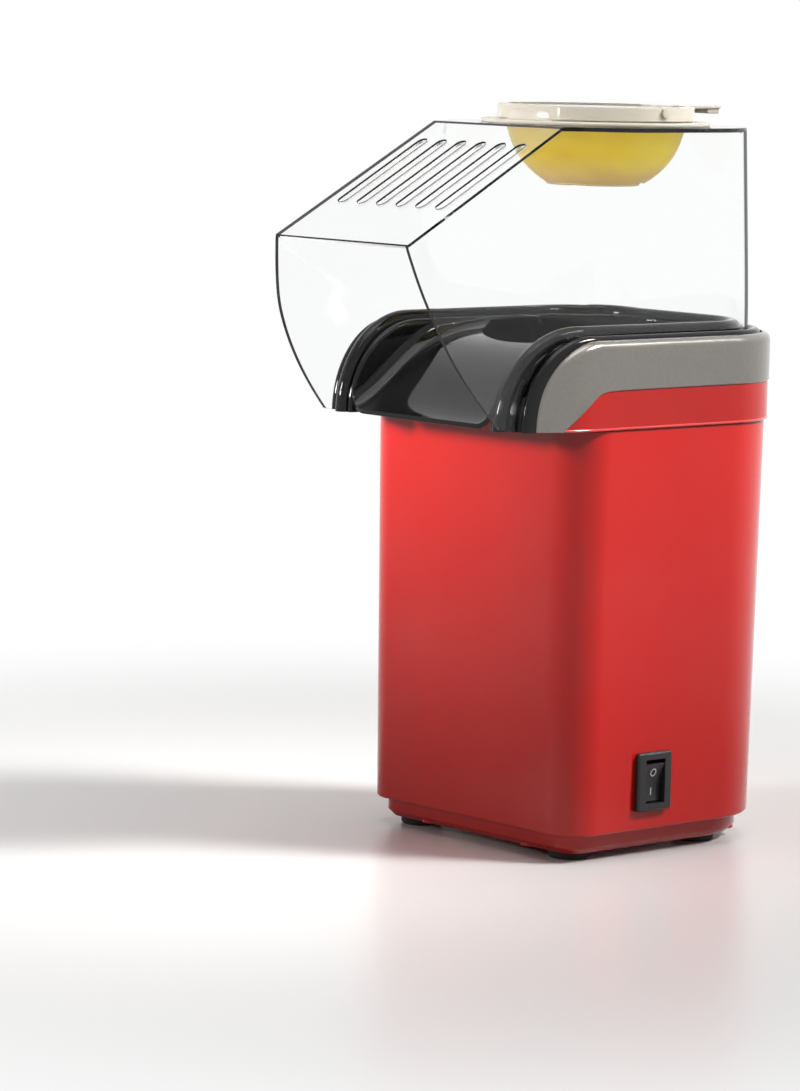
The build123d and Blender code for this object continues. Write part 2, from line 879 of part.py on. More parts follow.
bracket_screws = screws(level(can_top - 1.8), bracket_spots, 2.9, 1.8, 5.0)
bracket_screws.label = "bracket_screws"
export_step(bracket_screws, "parts/bracket_screws.step")

with BuildPart() as motor_shaft:
    with BuildSketch(level(can_low + 5)):
        Circle(shaft_r)
    extrude(amount=52)
    chamfer(edges().group_by(Axis.Z)[-1], 0.4)
motor_shaft.part.label = "motor_shaft"
export_step(motor_shaft.part, "parts/motor_shaft.step")

fan_low = 50.0
fan_r = 38.0
blade_top = 63.0
with BuildPart() as fan_impeller:
    with BuildSketch(level(fan_low)):
        Circle(fan_r)
    extrude(amount=1.6)
    with BuildSketch(level(fan_low)):
        Circle(6.5)
    extrude(amount=15)
    for step in range(9):
        turn = radians(40 * step)
        with BuildSketch(level(fan_low + 1)):
            with BuildLine():
                ThreePointArc(
                    *[
                        (r * cos(turn + bend), r * sin(turn + bend))
                        for r, bend in ((9, 0), (24, 0.3), (fan_r - 0.6, 0.42))
                    ]
                )
            trace(line_width=1.5)
        extrude(amount=blade_top - fan_low - 1)
    with BuildSketch(level(fan_low)):
        Circle(shaft_r + 0.02)
    extrude(amount=20, mode=Mode.SUBTRACT)
fan_impeller.part.label = "fan_impeller"
export_step(fan_impeller.part, "parts/fan_impeller.step")

# diode board of the motor
with BuildPart() as rectifier_board:
    with BuildSketch(level(board_z)):
        with Locations((0, -42)):
            Rectangle(32, 14)
    extrude(amount=1.6)
    for x in (-10.5, -3.5, 3.5, 10.5):
        with BuildSketch(Plane((x, chamber_y - 45, board_z + 3), z_dir=(0, 1, 0))):
            Circle(1.6)
        extrude(amount=6)
rectifier_board.part.label = "rectifier_board"
export_step(rectifier_board.part, "parts/rectifier_board.step")
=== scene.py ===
import math

import bmesh
import bpy
import numpy as np
from mathutils import Matrix, Vector


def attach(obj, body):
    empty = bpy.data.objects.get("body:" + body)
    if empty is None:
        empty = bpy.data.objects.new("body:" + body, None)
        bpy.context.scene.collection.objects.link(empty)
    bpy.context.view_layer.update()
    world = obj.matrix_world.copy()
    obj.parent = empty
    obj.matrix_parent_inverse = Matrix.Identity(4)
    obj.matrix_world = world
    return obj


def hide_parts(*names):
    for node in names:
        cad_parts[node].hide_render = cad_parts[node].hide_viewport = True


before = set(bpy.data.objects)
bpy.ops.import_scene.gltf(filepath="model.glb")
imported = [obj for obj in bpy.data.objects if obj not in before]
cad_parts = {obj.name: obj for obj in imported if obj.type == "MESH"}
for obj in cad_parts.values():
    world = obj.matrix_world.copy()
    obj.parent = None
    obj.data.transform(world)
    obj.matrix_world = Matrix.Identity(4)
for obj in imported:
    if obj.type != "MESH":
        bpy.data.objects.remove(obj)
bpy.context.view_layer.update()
print("frame:", len(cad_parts), "nodes")

mm = 0.001
axisY = 33.85  # the popping chamber's axis, mm behind the frame's middle


class Wire:
    # a node socket that takes part in ordinary arithmetic
    def __init__(self, tree, socket=None):
        self.tree = tree
        self.socket = socket

    def make(self, kind, settings=None, inputs=None, out=0):
        # any node: its settings first, then the values or links of its sockets
        node = self.tree.nodes.new(kind)
        for key, value in (settings or {}).items():
            setattr(node, key, value)
        for key, value in (inputs or {}).items():
            if isinstance(value, Wire):
                self.tree.links.new(value.socket, node.inputs[key])
            else:
                node.inputs[key].default_value = value
        return Wire(self.tree, node.outputs[out] if node.outputs else None)

    def math(self, operation, first, second=0.0):
        return self.make("ShaderNodeMath", {"operation": operation}, {0: first, 1: second})

    def __add__(self, other):
        return self.math("ADD", self, other)

    def __sub__(self, other):
        return self.math("SUBTRACT", self, other)

    def __rsub__(self, other):
        return self.math("SUBTRACT", other, self)

    def __mul__(self, other):
        return self.math("MULTIPLY", self, other)

    __radd__ = __add__
    __rmul__ = __mul__


class Finish:
    # one material: a Principled shader fed from Object coordinates
    def __init__(self, name, fixed):
        self.material = bpy.data.materials.new(name)
        self.material.use_nodes = True
        self.tree = self.material.node_tree
        self.shader = self.tree.nodes["Principled BSDF"]
        self.wire = Wire(self.tree)
        self.place = self.wire.make("ShaderNodeTexCoord", out="Object")
        for socket, value in fixed.items():
            self.set(socket, value)

    def set(self, socket, value):
        target = self.shader.inputs[socket]
        if isinstance(value, Wire):
            self.tree.links.new(value.socket, target)
        else:
            target.default_value = value

    def noise(self, scale, detail=2.0, stretch=(1, 1, 1)):
        at = self.wire.make("ShaderNodeMapping", None, {"Vector": self.place, "Scale": stretch})
        return self.wire.make("ShaderNodeTexNoise", None, {"Vector": at, "Scale": scale, "Detail": detail})

    def cells(self, scale):
        return self.wire.make("ShaderNodeTexVoronoi", None, {"Vector": self.place, "Scale": scale})

    def split(self):
        node = self.wire.make("ShaderNodeSeparateXYZ", None, {"Vector": self.place}).socket.node
        return [Wire(self.tree, out) for out in node.outputs]

    def ease(self, value, low, high, lowTo=0.0, highTo=1.0):
        return self.wire.make("ShaderNodeMapRange", {"interpolation_type": "SMOOTHSTEP"},
                              {"Value": value, "From Min": low, "From Max": high,
                               "To Min": lowTo, "To Max": highTo})

    def mix(self, amount, first, second):
        return self.wire.make("ShaderNodeMix", {"data_type": "RGBA"}, {0: amount, 6: first, 7: second}, out=2)

    def blend(self, amount, over):
        # another shader over this one
        own = Wire(self.tree, self.shader.outputs[0])
        both = self.wire.make("ShaderNodeMixShader", None, {0: amount, 1: own, 2: over})
        self.tree.links.new(both.socket, self.tree.nodes["Material Output"].inputs["Surface"])

    def bump(self, height, strength, distance):
        self.set("Normal", self.wire.make("ShaderNodeBump", None,
                                          {"Height": height, "Strength": strength, "Distance": distance}))


def shade(r, g, b):
    return (r, g, b, 1.0)


def glossRed(name, deep, bright):
    # red moulded plastic: deep gloss, faint flow marks, fine orange peel
    finish = Finish(name, {"Specular IOR Level": 0.3, "Coat Roughness": 0.05, "IOR": 1.49})
    flow = finish.noise(9, 3, (1, 1, 0.25))
    finish.set("Base Color", finish.mix(finish.ease(flow, 0.3, 0.7), deep, bright))
    finish.set("Roughness", finish.ease(finish.noise(60, 4), 0.3, 0.75, 0.16, 0.24))
    finish.set("Coat Weight", finish.ease(finish.noise(25, 2), 0.3, 0.7, 0.10, 0.22))
    finish.bump(finish.noise(420, 2) + finish.noise(55, 1) * 0.6, 0.02, 0.0012)
    return finish


# the band is given a red a shade deeper than the shell's
red = glossRed("redGloss", shade(0.64, 0.010, 0.007), shade(0.72, 0.014, 0.009))
bandRed = glossRed("redBandGloss", shade(0.47, 0.008, 0.005), shade(0.53, 0.011, 0.007))

# polished bead along the seam
beadRed = Finish("redBeadGloss", {"Specular IOR Level": 0.5, "Coat Roughness": 0.08, "IOR": 1.49})
rub = beadRed.noise(60, 3)
beadRed.set("Base Color", beadRed.mix(rub, shade(0.60, 0.012, 0.008), shade(0.70, 0.016, 0.010)))
beadRed.set("Roughness", beadRed.ease(rub, 0.3, 0.7, 0.14, 0.20))
beadRed.set("Coat Weight", beadRed.ease(beadRed.noise(25, 2), 0.3, 0.7, 0.8, 1.0))

# metallic grey paint with fine flake
grey = Finish("gunmetal", {"Coat Roughness": 0.08, "Metallic": 0.65})
flake = grey.ease(grey.noise(700, 2), 0.35, 0.65)
grey.set("Base Color", grey.mix(flake, shade(0.204, 0.191, 0.171), shade(0.216, 0.202, 0.181)))
grey.set("Roughness", grey.ease(grey.noise(90, 2), 0.3, 0.7, 0.21, 0.25))
grey.set("Coat Weight", grey.ease(grey.noise(30, 2), 0.3, 0.7, 0.4, 0.55))
grey.bump(grey.noise(300, 1), 0.003, 0.0004)

# piano black deck: mirror gloss with slight haze and dust
piano = Finish("pianoBlack", {"Coat Roughness": 0.03, "Specular IOR Level": 0.22})
haze = piano.noise(40, 4)
piano.set("Base Color", piano.mix(haze, shade(0.005, 0.005, 0.0055), shade(0.009, 0.009, 0.009)))
piano.set("Roughness", piano.ease(haze, 0.3, 0.75, 0.04, 0.07))
piano.set("Coat Weight", piano.ease(piano.noise(25, 2), 0.3, 0.7, 0.02, 0.08))
piano.bump(piano.noise(30, 1), 0.002, 0.0006)

# spark-eroded black plastic of the switch, duct, fan and gland
matt = Finish("blackMatt", {"Specular IOR Level": 0.4})
grain = matt.noise(2300, 3)
matt.set("Base Color", matt.mix(grain, shade(0.012, 0.012, 0.012), shade(0.026, 0.026, 0.026)))
matt.set("Roughness", matt.ease(matt.noise(350, 3), 0.3, 0.7, 0.36, 0.52))
matt.bump(grain, 0.12, 0.0003)

rubber = Finish("blackRubber", {"Specular IOR Level": 0.3})
speck = rubber.noise(900, 4)
rubber.set("Base Color", rubber.mix(speck, shade(0.010, 0.010, 0.010), shade(0.030, 0.029, 0.028)))
rubber.set("Roughness", rubber.ease(speck, 0.3, 0.7, 0.62, 0.82))
rubber.bump(speck, 0.25, 0.0004)

# clear moulded plastic with a painted dark edge: behind the axis a near-black shader is mixed in where the
# surface turns away, painted shade standing for dark surroundings seen in the glass, between two heights in mm:
# outside along the hood's rear wall, inside only under its top plate
clearSet = {"rear": (2.0, 12.0), "paintedDarkGlance": (0.68, 0.75), "fade": 0.4, "outside": (180.0, 271.4),
            "inside": (270.4, 271.4)}


def clearPlastic(name, low, high, c=clearSet):
    finish = Finish(name, {"IOR": 1.25, "Transmission Weight": 1.0, "Base Color": shade(0.985, 0.99, 0.99)})
    finish.set("Roughness", finish.ease(finish.noise(35, 3), 0.35, 0.75, 0.0, 0.025))
    finish.bump(finish.noise(18, 1), 0.01, 0.001)
    facing = finish.wire.make("ShaderNodeLayerWeight", None, {"Blend": 0.5}, out="Facing")
    wallY, wallZ = finish.split()[1:]
    rear = finish.ease(wallY, (c["rear"][0] + axisY) * mm, (c["rear"][1] + axisY) * mm)
    level = finish.ease(wallZ, low * mm, (low + c["fade"]) * mm) \
        * finish.ease(wallZ, high * mm, (high + c["fade"]) * mm, 1.0, 0.0)
    # painted shade: a near-black shader blended over the glass at glancing angles
    dark = finish.wire.make("ShaderNodeBsdfPrincipled", None, {"Base Color": shade(0.02, 0.02, 0.02),
                                                               "Specular IOR Level": 0.1, "Roughness": 0.3})
    finish.blend(finish.ease(facing, *c["paintedDarkGlance"]) * rear * level, dark)
    return finish


clear = clearPlastic("clearPlastic", *clearSet["outside"])
clearInsidePaintedDark = clearPlastic("clearInsidePaintedDark", *clearSet["inside"])

# cut edges are painted near-black, painted shade of the thick clear plastic; on the sloped roof only the upper
# part of each cut is, the rest of it is painted pale
roofCut = {"y": -50.4, "z": 272.7, "slope": math.atan2(42.0, 75.57), "dark": (0.6, 0.9), "wall": (1.7, 1.8),
           "half": (35.3, 35.5)}
paintedEdgeShade = Finish("clearEdge", {"IOR": 1.49, "Specular IOR Level": 0.25})
streak = paintedEdgeShade.noise(160, 3)
edgeX, edgeY, edgeZ = paintedEdgeShade.split()
below = (edgeY - (roofCut["y"] + axisY) * mm) * math.sin(roofCut["slope"]) \
    - (edgeZ - roofCut["z"] * mm) * math.cos(roofCut["slope"])
paintedPaleMask = paintedEdgeShade.ease(below, roofCut["dark"][0] * mm, roofCut["dark"][1] * mm) \
    * paintedEdgeShade.ease(below, roofCut["wall"][0] * mm, roofCut["wall"][1] * mm, 1.0, 0.0) \
    * paintedEdgeShade.ease(edgeX * edgeX, (roofCut["half"][0] * mm) ** 2, (roofCut["half"][1] * mm) ** 2, 1.0, 0.0)
# painted shade: near-black tone of the cut edges, varied at random
paintedShadeTone = paintedEdgeShade.mix(paintedEdgeShade.ease(streak, 0.35, 0.7), shade(0.006, 0.006, 0.006), shade(0.022, 0.021, 0.020))
paintedEdgeShade.set("Base Color", paintedEdgeShade.mix(paintedPaleMask, paintedShadeTone, shade(0.92, 0.92, 0.91)))
paintedEdgeShade.set("Roughness", paintedEdgeShade.ease(streak, 0.3, 0.7, 0.12, 0.25))

# milky plastic of the lid's ring, tab and studs and of the cup's flange
milk = Finish("milkyPlastic", {"IOR": 1.3, "Transmission Weight": 0.1})
bloom = milk.noise(120, 3)
milk.set("Base Color", milk.mix(bloom, shade(0.595, 0.545, 0.46), shade(0.665, 0.615, 0.53)))
milk.set("Roughness", milk.ease(bloom, 0.3, 0.7, 0.14, 0.26))
milk.bump(milk.noise(260, 2), 0.02, 0.0006)

# tinted bowl of the cup: warm yellow, paler and pinker at the bottom
amber = Finish("amberCup", {"IOR": 1.12, "Transmission Weight": 0.5})
cloud = amber.noise(45, 1)
rise = amber.ease(amber.split()[2] + cloud * 0.003, 0.249, 0.264)
warm = amber.mix(amber.ease(cloud, 0.3, 0.7), shade(0.98, 0.78, 0.09), shade(0.99, 0.86, 0.13))
amber.set("Base Color", amber.mix(rise, shade(0.93, 0.74, 0.46), warm))
amber.set("Roughness", amber.ease(cloud, 0.3, 0.7, 0.30, 0.40))
amber.bump(amber.noise(45, 2), 0.01, 0.001)

# spun and drawn metals: fine lines round the axis, a few brighter bands
spun = Finish("spunAluminium", {"Metallic": 1.0})
line = spun.noise(60, 4, (1, 1, 40))
spun.set("Base Color", spun.mix(line, shade(0.60, 0.60, 0.61), shade(0.78, 0.78, 0.79)))
spun.set("Roughness", spun.ease(line, 0.3, 0.7, 0.24, 0.42))
spun.bump(line, 0.05, 0.0003)

steel = Finish("plainSteel", {"Metallic": 1.0})
brush = steel.noise(90, 4, (30, 1, 1))
steel.set("Base Color", steel.mix(brush, shade(0.40, 0.40, 0.41), shade(0.60, 0.60, 0.60)))
steel.set("Roughness", steel.ease(brush, 0.3, 0.7, 0.26, 0.45))
steel.bump(brush, 0.05, 0.0003)

brass = Finish("brassBlade", {"Metallic": 1.0})
tarnish = brass.noise(220, 4)
brass.set("Base Color", brass.mix(tarnish, shade(0.58, 0.40, 0.14), shade(0.80, 0.62, 0.28)))
brass.set("Roughness", brass.ease(tarnish, 0.3, 0.7, 0.22, 0.42))

mica = Finish("micaSheet", {"Specular IOR Level": 0.6})
scale = mica.cells(260)
mica.set("Base Color", mica.mix(mica.ease(scale, 0.1, 0.7), shade(0.36, 0.29, 0.20), shade(0.60, 0.52, 0.40)))
mica.set("Roughness", mica.ease(mica.noise(300, 3), 0.3, 0.7, 0.3, 0.6))
mica.bump(scale, 0.08, 0.0004)

board = Finish("greenBoard", {"Specular IOR Level": 0.5})
weave = board.noise(700, 2, (1, 6, 1)) * board.noise(700, 2, (6, 1, 1))
board.set("Base Color", board.mix(weave * 3, shade(0.02, 0.10, 0.04), shade(0.05, 0.20, 0.08)))
board.set("Roughness", board.ease(weave, 0.1, 0.4, 0.3, 0.45))

whiteInk = Finish("whitePrint", {"Specular IOR Level": 0.4})
ink = whiteInk.noise(1800, 3)
whiteInk.set("Base Color", whiteInk.mix(ink, shade(0.72, 0.72, 0.70), shade(0.84, 0.84, 0.82)))
whiteInk.set("Roughness", whiteInk.ease(ink, 0.3, 0.7, 0.4, 0.6))
print("finishes:", len(bpy.data.materials))


def gridFaces(rows, cols, wrap=False):
    # quads that join each row of points to the next, the last column to the first when wrapped
    row = np.arange(rows - 1)[:, None] * cols
    col = np.arange(cols if wrap else cols - 1)[None, :]
    after = (col + 1) % cols
    return np.stack([row + col, row + after, row + cols + after, row + cols + col], axis=-1).reshape(-1, 4)


def sheet(points, wrap=False):
    # a whole grid of points as one patch
    return points.reshape(-1, 3), [gridFaces(*points.shape[:2], wrap)]


def tube(points):
    # closed cross-sections along a path, with a flat cap on each end
    rows, cols = points.shape[:2]
    caps = np.stack([np.arange(cols), np.arange((rows - 1) * cols, rows * cols)])
    return points.reshape(-1, 3), [gridFaces(rows, cols, True), caps]


def addPiece(name, patches, body, node, finishes, sharp=32.0):
    # patches in mm about the chamber's axis, joined where their borders meet
    points, faces, start = [], [], 0
    for patchPoints, blocks in patches:
        points.append(patchPoints)
        for block in blocks:
            faces += (block + start).tolist()
        start += len(patchPoints)
    place = (np.vstack(points) + (0, axisY, 0)) * mm
    mesh = bpy.data.meshes.new(name)
    mesh.from_pydata(place.tolist(), [], faces)
    work = bmesh.new()
    work.from_mesh(mesh)
    bmesh.ops.remove_doubles(work, verts=work.verts, dist=3e-6)
    bmesh.ops.dissolve_degenerate(work, edges=work.edges, dist=1e-7)
    bmesh.ops.recalc_face_normals(work, faces=work.faces)
    work.to_mesh(mesh)
    work.free()
    return placePiece(name, mesh, body, node, finishes, sharp)


def placePiece(name, mesh, body, node, finishes, sharp):
    mesh.materials.clear()
    for finish in finishes:
        mesh.materials.append(finish.material)
    mesh.polygons.foreach_set("use_smooth", np.ones(len(mesh.polygons), bool))
    mesh.set_sharp_from_angle(angle=math.radians(sharp))
    piece = bpy.data.objects.new(name, mesh)
    bpy.context.scene.collection.objects.link(piece)
    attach(piece, body)
    if node:
        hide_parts(node)
    return piece


def thicken(piece, wall, rim=0, inside=0):
    # a wall inwards from the surface; rim and inside are steps to another finish of the piece
    part = piece.modifiers.new("wall", "SOLIDIFY")
    part.thickness = wall * mm
    part.offset = -1.0
    part.use_even_offset = True
    part.material_offset = inside
    part.material_offset_rim = rim


def soften(piece, width, steps=3, angle=35.0, index=-1):
    part = piece.modifiers.new("edge", "BEVEL")
    part.width = width * mm
    part.segments = steps
    part.limit_method = "ANGLE"
    part.angle_limit = math.radians(angle)
    part.use_clamp_overlap = True
    part.harden_normals = True
    part.material = index


def fromSolid(node, name, body, finish, width=0.0, sharp=28.0):
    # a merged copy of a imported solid, flat faces joined up again, edges eased
    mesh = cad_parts[node].data.copy()
    mesh.name = name
    work = bmesh.new()
    work.from_mesh(mesh)
    bmesh.ops.remove_doubles(work, verts=work.verts, dist=2e-6)
    bmesh.ops.dissolve_limit(work, angle_limit=math.radians(0.4), verts=work.verts, edges=work.edges)
    work.to_mesh(mesh)
    work.free()
    piece = placePiece(name, mesh, body, node, [finish], sharp)
    if width:
        soften(piece, width, 2, 40.0)


# red lower shell: a plan outline that leans in towards the bottom
shellSet = {"half": 61.3, "front": 61.0, "back": 57.2, "frontCorner": 16.0, "backCorner": 39.0, "low": 10.5,
            "high": 162.5, "draft": 2.0, "wall": 2.5, "edge": 0.9, "holeY": -18.2, "holeZ": 29.0,
            "holeWide": 14.0, "holeTall": 18.8}


def shellPlan(s, sideY):
    # half outline from the middle of the front to the middle of the back, straight runs and quarter circles,
    # then mirrored; gives the points and the outward directions
    turn = np.linspace(0, np.pi / 2, 29)
    half, cornerA, cornerB = s["half"], s["frontCorner"], s["backCorner"]
    frontX = np.linspace(0, half - cornerA, 13)[:-1]
    backX = np.linspace(half - cornerB, 0, 9)[1:]
    x = np.concatenate([frontX, half - cornerA + cornerA * np.sin(turn), np.full_like(sideY, half),
                        half - cornerB + cornerB * np.cos(turn), backX])
    y = np.concatenate([np.full_like(frontX, -s["front"]), cornerA - s["front"] - cornerA * np.cos(turn), sideY,
                        s["back"] - cornerB + cornerB * np.sin(turn), np.full_like(backX, s["back"])])
    outX = np.concatenate([0 * frontX, np.sin(turn), 0 * sideY + 1, np.cos(turn), 0 * backX])
    outY = np.concatenate([0 * frontX - 1, -np.cos(turn), 0 * sideY, np.sin(turn), 0 * backX + 1])
    right = np.column_stack([x, y, outX, outY])
    both = np.vstack([right, right[-2:0:-1] * (-1, 1, -1, 1)])
    return both[:, :2], both[:, 2:]


def buildShell(s):
    # the outline at each height, drawn in by the draft, without the quads of the switch's hole
    holeA, holeB = s["holeY"] - s["holeWide"] / 2, s["holeY"] + s["holeWide"] / 2
    holeC, holeD = s["holeZ"] - s["holeTall"] / 2, s["holeZ"] + s["holeTall"] / 2
    runA, runB = s["frontCorner"] - s["front"], s["back"] - s["backCorner"]
    sideY = np.concatenate([np.linspace(runA, holeA, 8)[1:], np.linspace(holeA, holeB, 4)[1:],
                            np.linspace(holeB, runB, 10)[1:-1]])
    plan, out = shellPlan(s, sideY)
    z = np.concatenate([np.linspace(s["low"], holeC, 4), np.linspace(holeC, holeD, 5)[1:],
                        np.linspace(holeD, s["high"], 14)[1:]])
    lean = (s["high"] - z) * s["draft"] / (s["high"] - s["low"])
    grid = np.empty((len(z), len(plan), 3))
    grid[..., :2] = plan[None] - out[None] * lean[:, None, None]
    grid[..., 2] = z[:, None]
    points, (faces,) = sheet(grid, True)
    midX, midY, midZ = points[faces].mean(axis=1).T
    inHole = (midX > 0) & (midY > holeA) & (midY < holeB) & (midZ > holeC) & (midZ < holeD)
    piece = addPiece("redShell", [(points, [faces[~inHole]])], "machine", "housing", [red])
    thicken(piece, s["wall"])
    soften(piece, s["edge"])


buildShell(shellSet)

# shoulder outline shared by the red band and the grey collar
shoulderSet = {"half": 62.3, "back": 58.3, "corner": 39.0, "taper": 17.2, "taperY": -55.0, "taperR": 40.0,
               "seam": 162.5, "bandTop": 177.0, "slantY": -68.5, "slantRise": 0.8788, "blend": 2.6}


def shoulderX(y, s=shoulderSet):
    # half width at y: straight flank, then an arc, then a straight taper towards the spout
    lean = math.radians(s["taper"])
    arcEnd = s["taperY"] - s["taperR"] * math.sin(lean)
    inArc = np.clip(y, arcEnd, s["taperY"]) - s["taperY"]
    bend = s["half"] - s["taperR"] + np.sqrt(s["taperR"] ** 2 - inArc ** 2)
    return bend - np.clip(arcEnd - y, 0, None) * math.tan(lean)


def bandEdge(y, s=shoulderSet):
    # height of the line between band and collar: the lower of a slant and a level, blended at their corner
    slant = s["seam"] + (y - s["slantY"]) * s["slantRise"]
    return 0.5 * (slant + s["bandTop"] - np.sqrt((slant - s["bandTop"]) ** 2 + s["blend"] ** 2))


def shoulderPlan(frontY, s=shoulderSet):
    # one half of the outline from frontY round to the middle of the back, as points and outward directions
    flank = np.concatenate([frontY, np.linspace(frontY[-1], s["back"] - s["corner"], 24)[1:-1]])
    turn = np.linspace(0, np.pi / 2, 40)
    backX = np.linspace(s["half"] - s["corner"], 0, 8)[1:]
    x = np.concatenate([shoulderX(flank), s["half"] - s["corner"] * (1 - np.cos(turn)), backX])
    y = np.concatenate([flank, s["back"] - s["corner"] * (1 - np.sin(turn)), np.full_like(backX, s["back"])])
    step = 0.01
    slope = (shoulderX(flank + step) - shoulderX(flank - step)) / (2 * step)
    outX = np.concatenate([0 * flank + 1, np.cos(turn), 0 * backX])
    outY = np.concatenate([-slope, np.sin(turn), 0 * backX + 1])
    size = np.hypot(outX, outY)
    return np.column_stack([x, y]), np.column_stack([outX, outY]) / size[:, None]


def bothSides(half):
    # right half of a strip of points and its mirror image, from the right front round to the left front
    return np.concatenate([half, half[-2::-1] * (-1, 1, 1)])


def climbY(sweepY, reach, steps):
    # the front of a line that climbs along a quarter ellipse, from its foot back to where it is level
    return sweepY + reach * np.cos(np.linspace(np.pi, np.pi / 2, steps))


def climb(count, reach, foot, top, steps):
    # heights and upward directions of such a line, whose other points lie level at the top
    turn = np.linspace(np.pi, np.pi / 2, steps)
    z = np.full(count, float(top))
    z[:steps] = foot + (top - foot) * np.sin(turn)
    up = np.tile((0.0, 0.0, 1.0), (count, 1))
    up[:steps, 1] = np.cos(turn) / reach
    up[:steps, 2] = np.sin(turn) / (top - foot)
    return z, up / np.linalg.norm(up, axis=1)[:, None]


bandSet = {"front": 0.5, "plainY": 24.0, "inset": 0.45, "gap": 0.05, "wall": 2.65, "edge": 0.6, "beadR": 0.55,
           "beadIn": 0.65, "beadUp": 0.35}


def buildBand(s, b):
    # upright strips from the seam to the collar's line, round the outline
    plan, out = shoulderPlan(np.linspace(s["slantY"] + b["front"], s["taperY"] + b["plainY"], 40))
    top = np.where(plan[:, 1] < 0, bandEdge(plan[:, 1]), s["bandTop"])
    rows = np.array([0.0, 0.1, 0.5, 0.9, 1.0])
    grid = np.empty((len(plan), len(rows), 3))
    grid[..., :2] = (plan - out * b["inset"])[:, None]
    grid[..., 2] = s["seam"] + (top - s["seam"] - b["gap"])[:, None] * rows
    piece = addPiece("redBand", [sheet(bothSides(grid))], "machine", "housing_band", [bandRed])
    thicken(piece, b["wall"])
    soften(piece, b["edge"])

    # bead at the seam: a small circle carried round the outline
    turn = np.linspace(0, 2 * np.pi, 20, endpoint=False)
    bead = np.empty((len(plan), len(turn), 3))
    bead[..., :2] = plan[:, None] - out[:, None] * (b["beadIn"] - b["beadR"] * np.cos(turn))[:, None]
    bead[..., 2] = s["seam"] + b["beadUp"] + b["beadR"] * np.sin(turn)
    addPiece("seamBead", [tube(bothSides(bead))], "machine", None, [beadRed], 40.0)


buildBand(shoulderSet, bandSet)

collarSet = {"sweepY": -51.0, "reach": 28.5, "steps": 46, "foot": 162.6, "top": 195.5, "round": 3.1,
             "depth": 3.2, "lead": 0.3, "gap": 0.1, "under": 0.35}


def buildCollar(c):
    # cross-section at each step round the shoulder: up the outer face, over a quarter circle, down the
    # inner face; at the front the top edge comes down along a quarter ellipse
    front = c["steps"]
    plan, out = shoulderPlan(climbY(c["sweepY"], c["reach"], front))
    z, up = climb(len(plan), c["reach"], c["foot"], c["top"], front)
    edge = np.column_stack([plan, z])
    out = np.column_stack([out, 0 * z])
    low = edge.copy()
    low[:front, 1] = np.linspace(shoulderSet["slantY"] - c["lead"], c["sweepY"], front)
    low[:front, 0] = shoulderX(low[:front, 1])
    low[:, 2] = np.where(low[:, 1] < 0, bandEdge(low[:, 1] - c["lead"]), shoulderSet["bandTop"]) + c["gap"]
    low[0, 2] = c["foot"]
    ring = [low - out * c["depth"], low - out * c["under"], low + (edge - low) * 0.02]
    for share in (0.25, 0.5, 0.75):
        face = low + (edge - c["round"] * up - low) * share
        face[:front, 0] = shoulderX(face[:front, 1])
        ring.append(face)
    for step in np.linspace(0, np.pi / 2, 10):
        ring.append(edge - out * c["round"] * (1 - np.cos(step)) - up * c["round"] * (1 - np.sin(step)))
    ring.append(edge - out * c["depth"] - up * c["gap"])
    points = bothSides(np.stack(ring, axis=1))
    addPiece("greyCollar", [tube(points)], "machine", "collar", [grey], 40.0)


buildCollar(collarSet)
print("shell, band and collar done")

# gloss black deck: two nested ridges that run round the back and sweep down beside the spout, and the
# chute floor; a ridge is its half width, back, corner, half width at the tip, reach and top
deckSet = {"sweepY": -52.0, "sweepZ": 162.5, "steps": (48, 30, 40, 10),
           "outer": (56.3, 52.3, 33.0, 53.6, 29.3, 195.0), "outerR": 2.0, "outerArc": (15, 160),
           "inner": (47.8, 44.0, 24.7, 44.3, 33.6, 197.0), "innerR": 3.0, "innerArc": (-22, 180),
           "skirt": (2.3, 0.6), "skirtTop": (2.2, 0.2), "foot": (2.4, 0.5), "toe": (3.5, 1.5), "depth": 14.0,
           "platform": 197.0, "spoutReach": 34.5, "chute": 39.0, "mouth": 41.5, "mouthR": 1.5, "cove": 7.0,
           "slideY": (-14.2, -39.0, -56.0, -70.0, -80.0, -90.0),
           "slideZ": (196.6, 191.2, 184.5, 175.0, 167.3, 163.4), "lipGuess": -86.0, "floorWall": 1.8,
           "floorEdge": 0.4}


def ridgeLine(d, half, back, corner, tip, reach, top):
    # centre line of a ridge: quarter ellipse up from the spout, flank, quarter circle, half of the back
    a, b, c, e = d["steps"]
    sweepY = climbY(d["sweepY"], reach, a)
    flank = np.linspace(d["sweepY"], back - corner, b)[1:-1]
    bend = np.linspace(0, np.pi / 2, c)
    rest = np.linspace(half - corner, 0, e)[1:]
    x = np.concatenate([half + (tip - half) * (d["sweepY"] - sweepY) / reach, np.full_like(flank, half),
                        half - corner * (1 - np.cos(bend)), rest])
    y = np.concatenate([sweepY, flank, back - corner * (1 - np.sin(bend)), np.full_like(rest, back)])
    z, up = climb(len(x), reach, d["sweepZ"], top, a)
    out = np.zeros((len(x), 3))
    out[:, 0] = np.concatenate([0 * sweepY + 1, 0 * flank + 1, np.cos(bend), 0 * rest])
    out[:, 1] = np.concatenate([0 * sweepY, 0 * flank, np.sin(bend), 0 * rest + 1])
    return np.column_stack([x, y, z]), out, up


